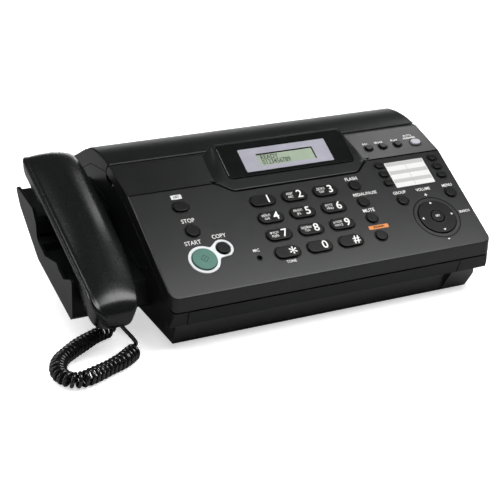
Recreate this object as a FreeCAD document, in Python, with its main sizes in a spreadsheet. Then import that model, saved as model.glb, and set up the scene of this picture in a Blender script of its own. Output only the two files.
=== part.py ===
import FreeCAD, Part

"""Desk-top thermal fax machine with a corded handset on a cradle at its left.

Frame: +X is the machine's right, +Y its rear, +Z up, in millimetres.  The origin is the middle of the
machine's footprint on the table.  Sizes live in the Sizes sheet, and every sketch and primitive
is bound to it.
"""
import math
import os
import re

import Sketcher
from FreeCAD import Placement, Rotation, Vector

# ---------------------------------------------------------------- driving sizes
SIZES = {
    # casing
    "body_width": 290, "pod_width": 62, "depth": 224, "wall": 2.5, "seam": 0.5, "groove_width": 0.9,
    "corner_radius": 6, "rim_radius": 1.2,
    "lip_height": 49.7, "lip_bottom": 37.9, "flap_top": 36.3, "flap_bottom": 24, "flap_lean": 4,
    "skirt_drop": 10.7, "base_bottom": 2, "foot_height": 2, "base_inset": 9, "base_lean": 14,
    "recess_depth": 6, "recess_right": 142, "rear_inset": 4, "flange": 2.4,
    # operation panel: a keypad slope, then a flatter band that ends in the hinge barrel
    "keypad_tilt": 30, "keypad_length": 100.8, "band_tilt": 16, "band_length": 38,
    "barrel": 8, "pin": 2.5, "pin_fit": 0.05, "ear": 4, "ear_radius": 4.8, "ear_inset": 5,
    # top cover
    "crease": 72, "cover_height": 113.2, "crown_radius": 110, "crown_end": 60, "crown_end_height": 112,
    "cover_side_front": 58, "cover_side_front_z": 99, "rear_hinge_inset": 8, "rear_hinge_height": 80,
    "slot_start": 8, "slot_gap": 8, "slot_length": 222,
    # document guides
    "guide_start": 20, "guide_length": 26, "guide_height": 3.6, "guide_thick": 3, "guide_foot": 14,
    "guide_spread": 216, "slit_width": 3, "slit_length": 72,
    # display housing, in keypad-slope coordinates measured from the body's left edge
    "display_low": 91, "display_ridge": 139.7, "display_left": 70, "display_right": 222,
    "display_top_left": 90, "display_top_right": 207, "display_seam": 0.3,
    "window_left": 92, "window_right": 205, "window_low": 103.5, "window_high": 134.5, "window_depth": 1.5,
    # keys
    "key_rise": 1.8, "key_flange": 1.2, "key_gap": 0.25, "key_travel": 1.2, "key_edge": 0.7,
    "dial_across": 107.4, "dial_up": 76.1, "dial_pitch_across": 28.8, "dial_pitch_up": 17.5,
    "dial_width": 21.5, "dial_depth": 10.6,
    "ring_across": 252.4, "ring_up": 32.2, "ring_radius": 17, "ring_hole": 6.2, "ring_rise": 1.2,
    "ring_pivot": 3.4,
    "board_gap": 6.5, "board_thick": 1.6,
    # handset cradle
    "pod_front": 45.5, "pod_sill": 57.8, "pod_step": 126, "pod_deck": 79.5, "pod_rear": 181,
    "cradle_front": 48, "cradle_floor": 47,
    # handset
    "handset_width": 46, "handset_left": 2.8, "handset_length": 200, "handset_tilt": 20.4,
    "handset_front": 2, "handset_ridge": 49, "handset_crown": 6, "handset_split": 2,
    "mouth_length": 33, "mouth_depth": 28, "ear_start": 133, "ear_depth": 20, "grip_depth": 11,
    "cord_radius": 6, "hook_radius": 4,
    # paper path
    "paper_left": -96, "paper_right": 118, "plate_thick": 3, "plate_gap": 3,
    "roller_radius": 8, "shaft_radius": 3, "platen_y": -50, "platen_z": 44, "feed_y": -7, "feed_z": 70,
    "roll_y": 66, "roll_z": 46, "roll_radius": 25, "core_radius": 6.3, "hub_radius": 6.2, "hub_length": 8,
    # gear train
    "module_mm": 1, "roller_teeth": 24, "idler_teeth": 36, "pinion_teeth": 12, "backlash": 0.18,
    "gear_start": 125, "gear_width": 6, "pinion_angle": -10,
    "motor_radius": 17.5, "motor_length": 22, "motor_start": 133.5, "motor_shaft": 1.5,
}

# Keys off the dial block: place and size on the slope, from the body's left edge and the front lip.
SLOPE_KEYS = {
    "flash_key": (193.6, 76.7, 9.6, 9.6),
    "redial_pause_key": (193.6, 59.1, 9.6, 9.6),
    "mute_key": (193.6, 42.0, 9.6, 9.6),
    "speakerphone_key": (193.6, 23.6, 9.6, 9.6),
    "one_touch_key_1": (225.5, 93.0, 8.2, 6.0),
    "one_touch_key_2": (225.5, 83.3, 8.2, 6.0),
    "one_touch_key_3": (225.5, 73.8, 8.2, 6.0),
    "one_touch_key_4": (279.0, 93.0, 8.2, 6.0),
    "one_touch_key_5": (279.0, 83.3, 8.2, 6.0),
    "one_touch_key_6": (279.0, 73.8, 8.2, 6.0),
    "broadcast_key": (229.8, 54.3, 9.6, 9.6),
    "menu_key": (277.5, 54.5, 9.6, 9.6),
    "caller_id_key": (38.0, 82.6, 13.0, 9.4),
    "stop_key": (38.9, 58.3, 11.0, 11.0),
    "start_key": (38.3, 30.3, 20.0, 20.0),
    "copy_key": (57.0, 37.7, 10.5, 10.5),
    "set_key": (252.4, 32.2, 11.6, 11.6),
}
# Keys on the flatter band: place and size from the body's left edge and the groove.
BAND_KEYS = {
    "record_key": (227.6, 15.4, 7.0, 7.0),
    "erase_key": (241.7, 15.4, 7.0, 7.0),
    "playback_key": (256.7, 15.4, 7.0, 7.0),
    "auto_answer_key": (274.3, 14.2, 9.4, 7.4),
}
DIAL_ROWS = (("key_1", "key_2", "key_3"), ("key_4", "key_5", "key_6"),
             ("key_7", "key_8", "key_9"), ("key_star", "key_0", "key_hash"))

KEY_FIELDS = ("across", "up", "width", "deep")
for key_name, key_numbers in {**SLOPE_KEYS, **BAND_KEYS}.items():
    for field, number in zip(KEY_FIELDS, key_numbers):
        SIZES[f"{key_name}_{field}"] = number

DOC = FreeCAD.newDocument("FaxMachine")
SHEET = DOC.addObject("Spreadsheet::Sheet", "Sizes")
for row, (alias, number) in enumerate(SIZES.items(), start=1):
    SHEET.set(f"A{row}", alias)
    SHEET.set(f"B{row}", str(number))
    SHEET.setAlias(f"B{row}", alias)
DOC.recompute()

WORD = re.compile(r"[A-Za-z_]\w*")
SUB_PARTS = []


# ---------------------------------------------------------------- expressions
def bind(text):
    """The expression with each size's name pointing at the sheet."""
    return WORD.sub(lambda word: "Sizes." + word[0] if word[0] in SIZES else word[0], str(text))


def value(text):
    """The number that an expression over the sheet comes to."""
    result = SHEET.evalExpression(bind(text))
    return float(getattr(result, "Value", result))


def drive(thing, **bindings):
    """Bind properties of an object to expressions over the sheet."""
    for name, text in bindings.items():
        thing.setExpression(name.replace("__", "."), bind(text))


def pose(thing, name, x=0, y=0, z=0, tilt=0, axis=(1, 0, 0)):
    """Bind a placement: a shift, and a turn of tilt degrees about axis."""
    base = f"create(<<vector>>; {x}; {y}; {z})"
    about = f"create(<<vector>>; {axis[0]}; {axis[1]}; {axis[2]})"
    thing.setExpression(name, bind(f"create(<<placement>>; {base}; create(<<rotation>>; {about}; {tilt}))"))


# ---------------------------------------------------------------- places shared by several pieces
RIGHT = "((body_width + pod_width) / 2)"
POD_LEFT = "(-(body_width + pod_width) / 2)"
BODY_LEFT = "(pod_width - (body_width + pod_width) / 2)"
FRONT = "(-depth / 2)"
REAR = "(depth / 2)"


def along(start, length, rise, tilt):
    """The (y, z) at a length along a line tilted up towards the rear, and a rise square to it."""
    return (f"({start[0]} + ({length}) * cos({tilt}) - ({rise}) * sin({tilt}))",
            f"({start[1]} + ({length}) * sin({tilt}) + ({rise}) * cos({tilt}))")


def on_slope(up, rise):
    return along((FRONT, "lip_height"), up, rise, "keypad_tilt")


def on_band(up, rise):
    return along(on_slope("keypad_length", "0"), up, rise, "band_tilt")


def around(centre, radius, angle):
    return (f"({centre[0]} + ({radius}) * cos({angle}))", f"({centre[1]} + ({radius}) * sin({angle}))")


PANEL_HINGE = on_band("band_length", "-barrel")
COVER_HINGE = (f"({REAR} - rear_hinge_inset)", "rear_hinge_height")
GROOVE = on_slope("keypad_length", "0")
# Half the angle between slope and band, used to offset their corner.
CORNER = "((keypad_tilt - band_tilt) / 2)"


def below_corner(depth):
    """The corner of slope and band, moved square to both surfaces by depth."""
    return on_slope(f"(keypad_length + ({depth}) * tan({CORNER}))", f"(-({depth}))")


# ---------------------------------------------------------------- sketches
def origin_plane(body, role):
    return next(item for item in body.Origin.OriginFeatures if item.Role == role)


def new_sketch(body, name, plane, **offset):
    sketch = body.newObject("Sketcher::SketchObject", name)
    sketch.AttachmentSupport = [(origin_plane(body, plane), "")]
    sketch.MapMode = "FlatFace"
    pose(sketch, "AttachmentOffset", **offset)
    return sketch


def pin_point(sketch, geometry, corner, place):
    """Fix one point of a sketch at a place given by two expressions."""
    for kind, text in zip(("DistanceX", "DistanceY"), place):
        index = sketch.addConstraint(Sketcher.Constraint(kind, -1, 1, geometry, corner, value(text)))
        sketch.setExpression(f"Constraints[{index}]", bind(text))


def pin_radius(sketch, geometry, text):
    index = sketch.addConstraint(Sketcher.Constraint("Radius", geometry, value(text)))
    sketch.setExpression(f"Constraints[{index}]", bind(text))


def flat(place):
    return Vector(value(place[0]), value(place[1]), 0)


def outline(sketch, places, arcs=None):
    """A closed outline through places; arcs gives {side: (centre, radius, turns_left)}."""
    arcs = arcs or {}
    points = [flat(place) for place in places]
    ends = []
    for side, start in enumerate(points):
        finish = points[(side + 1) % len(points)]
        if side not in arcs:
            line = sketch.addGeometry(Part.LineSegment(start, finish), False)
            ends.append((line, 1, 2))
            continue
        centre, radius, turns_left = arcs[side]
        middle = flat(centre)
        angles = [math.atan2(point.y - middle.y, point.x - middle.x) for point in (start, finish)]
        if not turns_left:
            angles.reverse()
        circle = Part.Circle(middle, Vector(0, 0, 1), value(radius))
        arc = sketch.addGeometry(Part.ArcOfCircle(circle, angles[0], angles[1]), False)
        ends.append((arc, 1, 2) if turns_left else (arc, 2, 1))
    for side, (geometry, _, last) in enumerate(ends):
        following = ends[(side + 1) % len(ends)]
        sketch.addConstraint(Sketcher.Constraint("Coincident", geometry, last, following[0], following[1]))
    for (geometry, first, _), place in zip(ends, places):
        pin_point(sketch, geometry, first, place)
    for side, (_, radius, _) in arcs.items():
        pin_radius(sketch, ends[side][0], radius)


def round_outline(sketch, centre, radius):
    circle = sketch.addGeometry(Part.Circle(flat(centre), Vector(0, 0, 1), value(radius)), False)
    pin_point(sketch, circle, 3, centre)
    pin_radius(sketch, circle, radius)


def oval_outline(sketch, centre, width, depth):
    """A slot shape with round ends, or a circle when the two sizes are equal."""
    if abs(value(width) - value(depth)) < 0.01:
        round_outline(sketch, centre, f"({depth}) / 2")
        return
    radius = f"(({depth}) / 2)"
    reach = f"((({width}) - ({depth})) / 2)"
    middles = [(f"({centre[0]} - {reach})", centre[1]), (f"({centre[0]} + {reach})", centre[1])]
    left, right = (flat(middle) for middle in middles)
    step = Vector(0, value(radius), 0)
    up = Vector(0, 0, 1)
    quarter = math.pi / 2
    left_arc = sketch.addGeometry(Part.ArcOfCircle(Part.Circle(left, up, step.y), quarter, 3 * quarter),
                                  False)
    right_arc = sketch.addGeometry(Part.ArcOfCircle(Part.Circle(right, up, step.y), -quarter, quarter),
                                   False)
    low = sketch.addGeometry(Part.LineSegment(left - step, right - step), False)
    high = sketch.addGeometry(Part.LineSegment(right + step, left + step), False)
    for first, second in (((left_arc, 2), (low, 1)), ((low, 2), (right_arc, 1)),
                          ((right_arc, 2), (high, 1)), ((high, 2), (left_arc, 1))):
        sketch.addConstraint(Sketcher.Constraint("Tangent", *first, *second))
    sketch.addConstraint(Sketcher.Constraint("Equal", left_arc, right_arc))
    pin_point(sketch, left_arc, 3, middles[0])
    pin_point(sketch, right_arc, 3, middles[1])
    pin_radius(sketch, left_arc, radius)


def box_places(left, right, low, high):
    return [(left, low), (right, low), (right, high), (left, high)]


# ---------------------------------------------------------------- features
def new_body(label):
    body = DOC.addObject("PartDesign::Body", label)
    body.Label = label
    SUB_PARTS.append(body)
    return body


def pad(body, name, sketch, length, reverse=False):
    """Pad a sketch along its plane's normal, or against it."""
    feature = body.newObject("PartDesign::Pad", name)
    feature.Profile = sketch
    feature.Reversed = reverse
    drive(feature, Length=length)
    DOC.recompute()
    return feature


def cut(body, name, sketch, length, reverse=False):
    """Pocket a sketch along its plane's normal, or against it, and make sure that it removes something."""
    before = body.Shape.Volume
    feature = body.newObject("PartDesign::Pocket", name)
    feature.Profile = sketch
    feature.Reversed = not reverse
    drive(feature, Length=length)
    DOC.recompute()
    if feature.Shape.Volume > before - 0.01:
        raise ValueError(f"{body.Label}: {name} cuts nothing")
    return feature


def side_pad(body, name, places, start, length, arcs=None):
    """Pad an outline drawn in the (y, z) side view, from x = start towards the right."""
    sketch = new_sketch(body, name + "Sketch", "YZ_Plane", z=start)
    outline(sketch, places, arcs)
    return pad(body, name, sketch, length)


def side_cut(body, name, places, start, length, arcs=None):
    sketch = new_sketch(body, name + "Sketch", "YZ_Plane", z=start)
    outline(sketch, places, arcs)
    return cut(body, name, sketch, length)


def side_disc(body, name, centre, radius, start, length, remove=False):
    """A round boss or bore whose axis runs along X."""
    sketch = new_sketch(body, name + "Sketch", "YZ_Plane", z=start)
    round_outline(sketch, centre, radius)
    return (cut if remove else pad)(body, name, sketch, length)


def edges_near(shape, test):
    """Names of the straight or round edges whose middle passes a test."""
    names = []
    for index, edge in enumerate(shape.Edges, start=1):
        middle = edge.valueAt((edge.FirstParameter + edge.LastParameter) / 2)
        if test(edge, middle):
            names.append(f"Edge{index}")
    return names


def soften(body, name, test, radius, kind="Fillet"):
    """Fillet or chamfer the edges that pass a test."""
    tip = body.Tip
    names = edges_near(tip.Shape, test)
    if not names:
        raise ValueError(f"{body.Label}: {name} finds no edge")
    feature = body.newObject(f"PartDesign::{kind}", name)
    feature.Base = (tip, names)
    drive(feature, **{"Radius" if kind == "Fillet" else "Size": radius})
    DOC.recompute()
    return feature


def runs_along_x(edge):
    if not isinstance(edge.Curve, Part.Line):
        return False
    return abs(edge.Curve.Direction.x) > 0.999


def at_side_points(places, reach=0.3):
    """A test for edges along X that pass through one of the (y, z) places."""
    spots = [flat(place) for place in places]

    def test(edge, middle):
        near = any(math.hypot(middle.y - spot.x, middle.z - spot.y) < reach for spot in spots)
        return near and runs_along_x(edge)
    return test


def round_front_corners(body, left, right, front):
    """Round a casing piece's two upright front corners by cutting away what lies outside their arcs."""
    sketch = new_sketch(body, "CornersSketch", "XY_Plane")
    for x, way in ((left, "+"), (right, "-")):
        along_front = (f"({x} {way} corner_radius)", front)
        along_side = (x, f"({front} + corner_radius)")
        centre = (along_front[0], along_side[1])
        outside = (f"({x} {'-' if way == '+' else '+'} 1)", f"({front} - 1)")
        outline(sketch, [along_front, along_side, (outside[0], along_side[1]), outside,
                         (along_front[0], outside[1])],
                {0: (centre, "corner_radius", way == "-")})
    cut(body, "Corners", sketch, "120", reverse=False)


# ---------------------------------------------------------------- Part primitives
def primitive(kind, name, **sizes):
    thing = DOC.addObject(f"Part::{kind}", name)
    drive(thing, **sizes)
    return thing


def rod(name, radius, start, length, y, z):
    """A cylinder along X."""
    thing = primitive("Cylinder", name, Radius=radius, Height=length)
    pose(thing, "Placement", x=start, y=y, z=z, tilt=90, axis=(0, 1, 0))
    return thing


def block(name, low, high):
    """A box from its lowest to its highest corner."""
    sizes = [f"({top}) - ({bottom})" for bottom, top in zip(low, high)]
    thing = primitive("Box", name, Length=sizes[0], Width=sizes[1], Height=sizes[2])
    pose(thing, "Placement", x=low[0], y=low[1], z=low[2])
    return thing


def upright(name, radius, x, y, z, height):
    """A cylinder along Z."""
    thing = primitive("Cylinder", name, Radius=radius, Height=height)
    pose(thing, "Placement", x=x, y=y, z=z)
    return thing


def joined(label, things):
    """Primitives fused into one solid sub-part."""
    fuse = DOC.addObject("Part::MultiFuse", label)
    fuse.Shapes = things
    fuse.Label = label
    SUB_PARTS.append(fuse)
    return fuse


def grouped(label, things):
    """Separate solids that share one sub-part."""
    group = DOC.addObject("Part::Compound", label)
    group.Links = things
    group.Label = label
    SUB_PARTS.append(group)
    return group


# ---------------------------------------------------------------- lower case
LEFT_PLATE = "(paper_left - plate_gap - plate_thick)"
RIGHT_PLATE = "(paper_right + plate_gap)"
BASE_LEFT = f"({BODY_LEFT} + base_inset)"
BASE_RIGHT = f"({RIGHT} - base_inset)"
BASE_REAR = f"({REAR} - rear_inset)"
BASE_FLOOR = "(base_bottom + wall)"
FLAP_FOOT = f"({FRONT} + seam + flap_lean)"
BASE_TOE = f"({FLAP_FOOT} + base_lean)"
PLATEN = ("platen_y", "platen_z")
FEED = ("feed_y", "feed_z")
ROLL = ("roll_y", "roll_z")


def lower_case():
    """Plinth tray with a leaning front, two chassis plates for the rollers, and windows for the sockets."""
    body = new_body("lower_case")
    width = f"{BASE_RIGHT} - {BASE_LEFT}"
    side_pad(body, "Plinth", [(BASE_TOE, "base_bottom"), (BASE_REAR, "base_bottom"),
                              (BASE_REAR, "flap_bottom"), (FLAP_FOOT, "flap_bottom")], BASE_LEFT, width)
    round_front_corners(body, BASE_LEFT, BASE_RIGHT, FLAP_FOOT)
    lean_face = f"({FLAP_FOOT} + recess_depth)"
    side_cut(body, "FrontRecess", [(BASE_TOE, "base_bottom + 1"), (lean_face, "flap_bottom + 1"),
                                   (f"{FLAP_FOOT} - 5", "flap_bottom + 1"),
                                   (f"{BASE_TOE} - 9", "base_bottom + 1")],
             f"{BASE_LEFT} - 1", f"recess_right - {BASE_LEFT} + 1")
    side_cut(body, "Hollow", [(f"{BASE_TOE} + wall", BASE_FLOOR), (f"{BASE_REAR} - wall", BASE_FLOOR),
                              (f"{BASE_REAR} - wall", "flap_bottom + 1"),
                              (f"{lean_face} + wall", "flap_bottom + 1")],
             f"{BASE_LEFT} + wall", f"{width} - 2 * wall")
    plate = [(f"{FRONT} + 42", f"{BASE_FLOOR} - 1"), ("roll_y + 22", f"{BASE_FLOOR} - 1"),
             ("roll_y + 14", "roll_z + 14"),
             ("feed_y + 16", "feed_z + 9"), ("feed_y - 14", "feed_z + 9"),
             ("platen_y - 12", "platen_z + 10")]
    for name, start in (("LeftPlate", LEFT_PLATE), ("RightPlate", RIGHT_PLATE)):
        side_pad(body, name, plate, start, "plate_thick")
        for bore, centre in (("Platen", PLATEN), ("Feed", FEED)):
            side_disc(body, f"{name}{bore}Bore", centre, "shaft_radius + pin_fit", f"{start} - 1",
                      "plate_thick + 2",
                      remove=True)
    side_disc(body, "LeftHub", ROLL, "hub_radius", f"{LEFT_PLATE} + 1",
              "plate_thick - 1 + plate_gap + hub_length")
    side_disc(body, "RightHub", ROLL, "hub_radius", f"{RIGHT_PLATE} - plate_gap - hub_length",
              "plate_thick - 1 + plate_gap + hub_length")
    side_disc(body, "IdlerStub", IDLER, "shaft_radius", f"{RIGHT_PLATE} + 1",
              f"gear_start + gear_width - {RIGHT_PLATE}")
    side_disc(body, "MotorShaftBore", PINION, "motor_shaft + 0.5", f"{RIGHT_PLATE} - 1", "plate_thick + 2",
              remove=True)
    for name, x, z, wide, tall in SOCKETS:
        sketch = new_sketch(body, name + "WindowSketch", "XZ_Plane", z=f"-({BASE_REAR} + 1)")
        outline(sketch, box_places(f"{x} - ({wide}) / 2", f"{x} + ({wide}) / 2", z, f"{z} + {tall}"))
        cut(body, name + "Window", sketch, "wall + 2")
    return body


# ---------------------------------------------------------------- gear train places
IDLER_REACH = "((roller_teeth + idler_teeth) * module_mm / 2 + backlash)"
PINION_REACH = "((pinion_teeth + idler_teeth) * module_mm / 2 + backlash)"
SPAN = "sqrt((feed_y - platen_y)^2 + (feed_z - platen_z)^2)"
DROP = f"sqrt({IDLER_REACH}^2 - ({SPAN} / 2)^2)"
IDLER = (f"((platen_y + feed_y) / 2 + {DROP} * (feed_z - platen_z) / {SPAN})",
         f"((platen_z + feed_z) / 2 - {DROP} * (feed_y - platen_y) / {SPAN})")
PINION = around(IDLER, PINION_REACH, "pinion_angle")

# Rear sockets: name, middle x, lowest z, width, height.
SOCKETS = (("LineSocket", "-80", "7.2", "13", "13.6"), ("HandsetSocket", "-60", "7.2", "13", "13.6"),
           ("PowerInlet", "150", "6", "21", "15"))


def gear_shape(teeth, bore, start, width, lead=0):
    """A spur gear about the X axis; lead turns it, in degrees, so that its teeth enter its mate's gaps."""
    pitch = teeth * value("module_mm") / 2
    tip = pitch + 0.9 * value("module_mm")
    root = pitch - 1.2 * value("module_mm")
    step = 2 * math.pi / teeth
    # Half tooth widths as angles: wide at the root, a little under a quarter pitch at the pitch circle.
    flanks = ((root, 0.33), (pitch, 0.235), (tip, 0.12))
    corners = []
    for tooth in range(teeth):
        middle = math.radians(lead) + tooth * step
        rising = [(radius, middle - share * step) for radius, share in flanks]
        falling = [(radius, middle + share * step) for radius, share in reversed(flanks)]
        for radius, angle in rising + falling:
            corners.append(Vector(start, radius * math.cos(angle), radius * math.sin(angle)))
    face = Part.Face(Part.makePolygon(corners + corners[:1]))
    gear = face.extrude(Vector(width, 0, 0))
    if bore:
        gear = gear.cut(Part.makeCylinder(bore, width + 2, Vector(start - 1, 0, 0), Vector(1, 0, 0)))
    return gear


def solid_part(label, shape, y, z):
    """A sub-part whose shape comes from Part's functions, set at (y, z) on its own axis."""
    feature = DOC.addObject("Part::Feature", label)
    feature.Label = label
    feature.Shape = shape
    feature.Placement = Placement(Vector(0, y, z), Rotation())
    SUB_PARTS.append(feature)
    return feature


def x_rod(radius, start, length):
    return Part.makeCylinder(radius, length, Vector(start, 0, 0), Vector(1, 0, 0))


def roller_shape(lead):
    """Rubber-covered roller, its steel shaft and the gear pressed on the shaft's right end."""
    rubber = x_rod(value("roller_radius"), value("paper_left"), value("paper_right - paper_left"))
    end = value("gear_start + gear_width")
    start = value(f"{LEFT_PLATE} - 1")
    shaft = x_rod(value("shaft_radius"), start, end - start)
    gear = gear_shape(int(value("roller_teeth")), 0, value("gear_start"), value("gear_width"), lead)
    return rubber.fuse([shaft, gear]).removeSplitter()


def angle_between(start, finish):
    return math.degrees(math.atan2(value(finish[1]) - value(start[1]), value(finish[0]) - value(start[0])))


def paper_drive():
    """Platen roller, document roller, idler gear and motor pinion, their teeth meshed at rest."""
    # The idler has a tooth towards the platen; each mate has a gap that faces the idler's tooth.
    idler_teeth = int(value("idler_teeth"))
    idler_step = 360 / idler_teeth
    idler_lead = angle_between(IDLER, PLATEN)

    def mate_lead(mate, teeth):
        towards_mate = angle_between(IDLER, mate)
        miss = (towards_mate - idler_lead) / idler_step
        miss -= math.floor(miss)
        facing = towards_mate + 180
        return facing + (0.5 + miss) * 360 / teeth

    roller_teeth = int(value("roller_teeth"))
    pinion_teeth = int(value("pinion_teeth"))
    width = value("gear_width")
    start = value("gear_start")
    solid_part("platen_roller", roller_shape(mate_lead(PLATEN, roller_teeth)), value(PLATEN[0]),
               value(PLATEN[1]))
    solid_part("document_roller", roller_shape(mate_lead(FEED, roller_teeth)), value(FEED[0]),
               value(FEED[1]))
    idler = gear_shape(idler_teeth, value("shaft_radius + pin_fit"), start, width - 1, idler_lead)
    solid_part("idler_gear", idler, value(IDLER[0]), value(IDLER[1]))
    pinion = gear_shape(pinion_teeth, 0, start, width - 1, mate_lead(PINION, pinion_teeth))
    pinion = pinion.fuse(x_rod(value("motor_shaft"), start,
                               value("motor_start") + 6 - start)).removeSplitter()
    solid_part("motor_pinion", pinion, value(PINION[0]), value(PINION[1]))


def motor_and_power():
    """Feed motor on the pinion's axis, with a bore for its shaft, and the power supply behind it."""
    can = x_rod(value("motor_radius"), value("motor_start"), value("motor_length"))
    bore = x_rod(value("motor_shaft + pin_fit"), value("motor_start") - 1, 9)
    ear = Part.makeBox(2, 50, 10, Vector(value("motor_start"), -25, -5))
    leg = Part.makeBox(6, 12, value(PINION[1]) - value(BASE_FLOOR),
                       Vector(value("motor_start"), -6, -value(PINION[1])
                                                                         + value(BASE_FLOOR)))
    solid_part("feed_motor", can.fuse([ear, leg]).cut(bore).removeSplitter(), value(PINION[0]),
               value(PINION[1]))
    low = BASE_FLOOR
    joined("power_supply", [
        block("PowerBoard", ("136", "32", low), ("163", "104", f"{low} + 3")),
        block("Transformer", ("139", "46", f"{low} + 1"), ("161", "72", f"{low} + 30")),
        block("InletShell", ("140", f"{BASE_REAR} - 24", "6.2"), ("160", f"{BASE_REAR} - 0.4", "20.8")),
        upright("Capacitor", "7", "149", "38", f"{low} + 1", "26")])


def electronics():
    """Main board under the paper roll with its two phone sockets, and the ringer speaker beside it."""
    low = f"({BASE_FLOOR} + 3)"
    things = [block("MainPlate", ("-92", "34", low), ("64", f"{BASE_REAR} - 8", f"{low} + board_thick"))]
    for index, x in enumerate((-80, -60)):
        things.append(block(f"Jack{index}", (f"{x} - 6.2", f"{BASE_REAR} - 18", low),
                            (f"{x} + 6.2", f"{BASE_REAR} - 0.4", f"{low} + 13")))
    for index, (x, y, wide, deep) in enumerate(((-40, 44, 24, 24), (0, 42, 14, 20), (24, 44, 30, 14))):
        things.append(block(f"Chip{index}", (f"{x}", f"{y}", low),
                            (f"{x + wide}", f"{y + deep}", f"{low} + 5")))
    for index, (x, y) in enumerate(((-88, 38), (58, 38), (-88, 92), (58, 92))):
        things.append(upright(f"Standoff{index}", "2.5", f"{x}", f"{y}", BASE_FLOOR, "3.4"))
    joined("main_board", things)
    joined("speaker", [
        upright("SpeakerFrame", "25", "-70", "0", BASE_FLOOR, "4"),
        upright("SpeakerBasket", "18", "-70", "0", f"{BASE_FLOOR} + 3", "7"),
        upright("SpeakerMagnet", "12", "-70", "0", f"{BASE_FLOOR} + 9", "8")])


def printing_parts():
    """Thermal head under the platen, image sensor over the document roller, and the paper roll."""
    top = "(platen_z - roller_radius - 0.1)"
    legs = [block(f"HeadLeg{index}", (f"{x}", "platen_y - 6", BASE_FLOOR),
                  (f"{x} + 8", "platen_y + 6", f"{top} - 6"))
            for index, x in enumerate((-90, 102))]
    head = block("HeadBar", ("paper_left", "platen_y - 9", f"{top} - 9"),
                 ("paper_right", "platen_y + 9", f"{top} - 2"))
    line = block("HeadLine", ("paper_left + 2", "platen_y - 4", f"{top} - 3"),
                 ("paper_right - 2", "platen_y + 4", top))
    joined("thermal_head", legs + [head, line])

    low = "(feed_z + roller_radius + 0.1)"
    under = on_band("(feed_y - (" + GROOVE[0] + ")) / cos(band_tilt)", "-wall")[1]
    bar = block("SensorBar", ("paper_left", "feed_y - 8", low),
                ("paper_right", "feed_y + 8", f"{low} + 13"))
    posts = [block(f"SensorPost{index}", (f"{x}", "feed_y - 5", f"{low} + 10"),
                   (f"{x} + 5", "feed_y + 5", f"{under} - 1.6"))
             for index, x in enumerate((-96, -60))]
    joined("image_sensor", [bar] + posts)

    roll = DOC.addObject("Part::Cut", "paper_roll")
    roll.Base = rod("PaperBody", "roll_radius", "paper_left - 0.5", "paper_right - paper_left + 1", *ROLL)
    roll.Tool = rod("PaperCore", "core_radius", "paper_left - 2", "paper_right - paper_left + 4", *ROLL)
    roll.Label = "paper_roll"
    SUB_PARTS.append(roll)


# ---------------------------------------------------------------- upper case
SIDE_LOW = "cover_side_front_z"
COVER_SIDE = ("cover_side_front", SIDE_LOW)
SIDE_REAR = (f"({COVER_HINGE[0]} - 6)", f"({COVER_HINGE[1]} - 4)")


def pod_point(y, z):
    """A place in the cradle's side view, given from the front lip and the table."""
    return (f"({FRONT} + ({y}))", z)


def upper_case():
    """Case ring around the mechanism with the handset cradle on its left and ears for both hinges."""
    body = new_body("upper_case")
    gap = "(skirt_drop + seam)"
    reach = "(barrel + seam)"
    turn = around(PANEL_HINGE, reach, "5")
    top = [on_slope(f"(skirt_drop * tan(keypad_tilt) - 3)", f"(-{gap})"), below_corner(gap),
           on_band("band_length - 9", f"(-{gap})"), (PANEL_HINGE[0], f"({PANEL_HINGE[1]} - {reach} - 1)"),
           (turn[0], f"({turn[1]} - seam)"), (COVER_SIDE[0], f"({COVER_SIDE[1]} - seam)"),
           (SIDE_REAR[0], f"({SIDE_REAR[1]} - seam)"), (REAR, f"({SIDE_REAR[1]} - seam + 1.5)")]
    skin = [(FLAP_FOOT, "flap_bottom"), (f"({FRONT} + seam)", "flap_top")] + top + [(REAR, "flap_bottom")]
    side_pad(body, "Ring", skin, BODY_LEFT, "body_width")
    round_front_corners(body, BODY_LEFT, RIGHT, FRONT)
    inner_front = f"({FRONT} + seam + wall)"
    side_cut(body, "Hollow",
             [(f"{inner_front} + flap_lean", "flap_bottom + wall"), (inner_front, "flap_top + 30"),
                              (inner_front, "150"), (f"{REAR} - wall", "150"),
                              (f"{REAR} - wall", "flap_bottom + wall")],
             f"{BODY_LEFT} + wall", "body_width - 2 * wall")
    floor = new_sketch(body, "OpeningSketch", "XY_Plane", z="flap_bottom - 1")
    outline(floor, box_places(f"{BASE_LEFT} + flange", f"{BASE_RIGHT} - flange", f"{FLAP_FOOT} + 11",
                              f"{BASE_REAR} - flange"))
    cut(body, "Opening", floor, "wall + 2")
    side_cut(body, "ExitSlot", [(f"({FRONT} - 1)", "flap_top"), (f"({inner_front} + 0.1)", "flap_top"),
                                (f"({inner_front} + 0.1)", "45"), (f"({FRONT} - 1)", "45")],
             "paper_left", "paper_right - paper_left")
    for name, centre, radius in (("PanelBarrelRoom", PANEL_HINGE, reach),
                                 ("CoverBarrelRoom", COVER_HINGE, "barrel + 0.4")):
        side_disc(body, name, centre, radius, f"{BODY_LEFT} - 1", "body_width + 2", remove=True)
    cradle(body)
    hinge_ears(body)
    for name, x in (("LeftFlapGap", f"{BODY_LEFT} + 14"), ("RightFlapGap", f"{BODY_LEFT} + 260")):
        side_cut(body, name,
                 [(f"{FLAP_FOOT} - 6", "flap_bottom - 1"), (f"{FLAP_FOOT} + 1.2", "flap_bottom - 1"),
                              (f"{FRONT} + seam + 1.2", "flap_top + 1"), (f"{FRONT} - 2", "flap_top + 1")],
                              x, "seam * 1.6")
    return body


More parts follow.
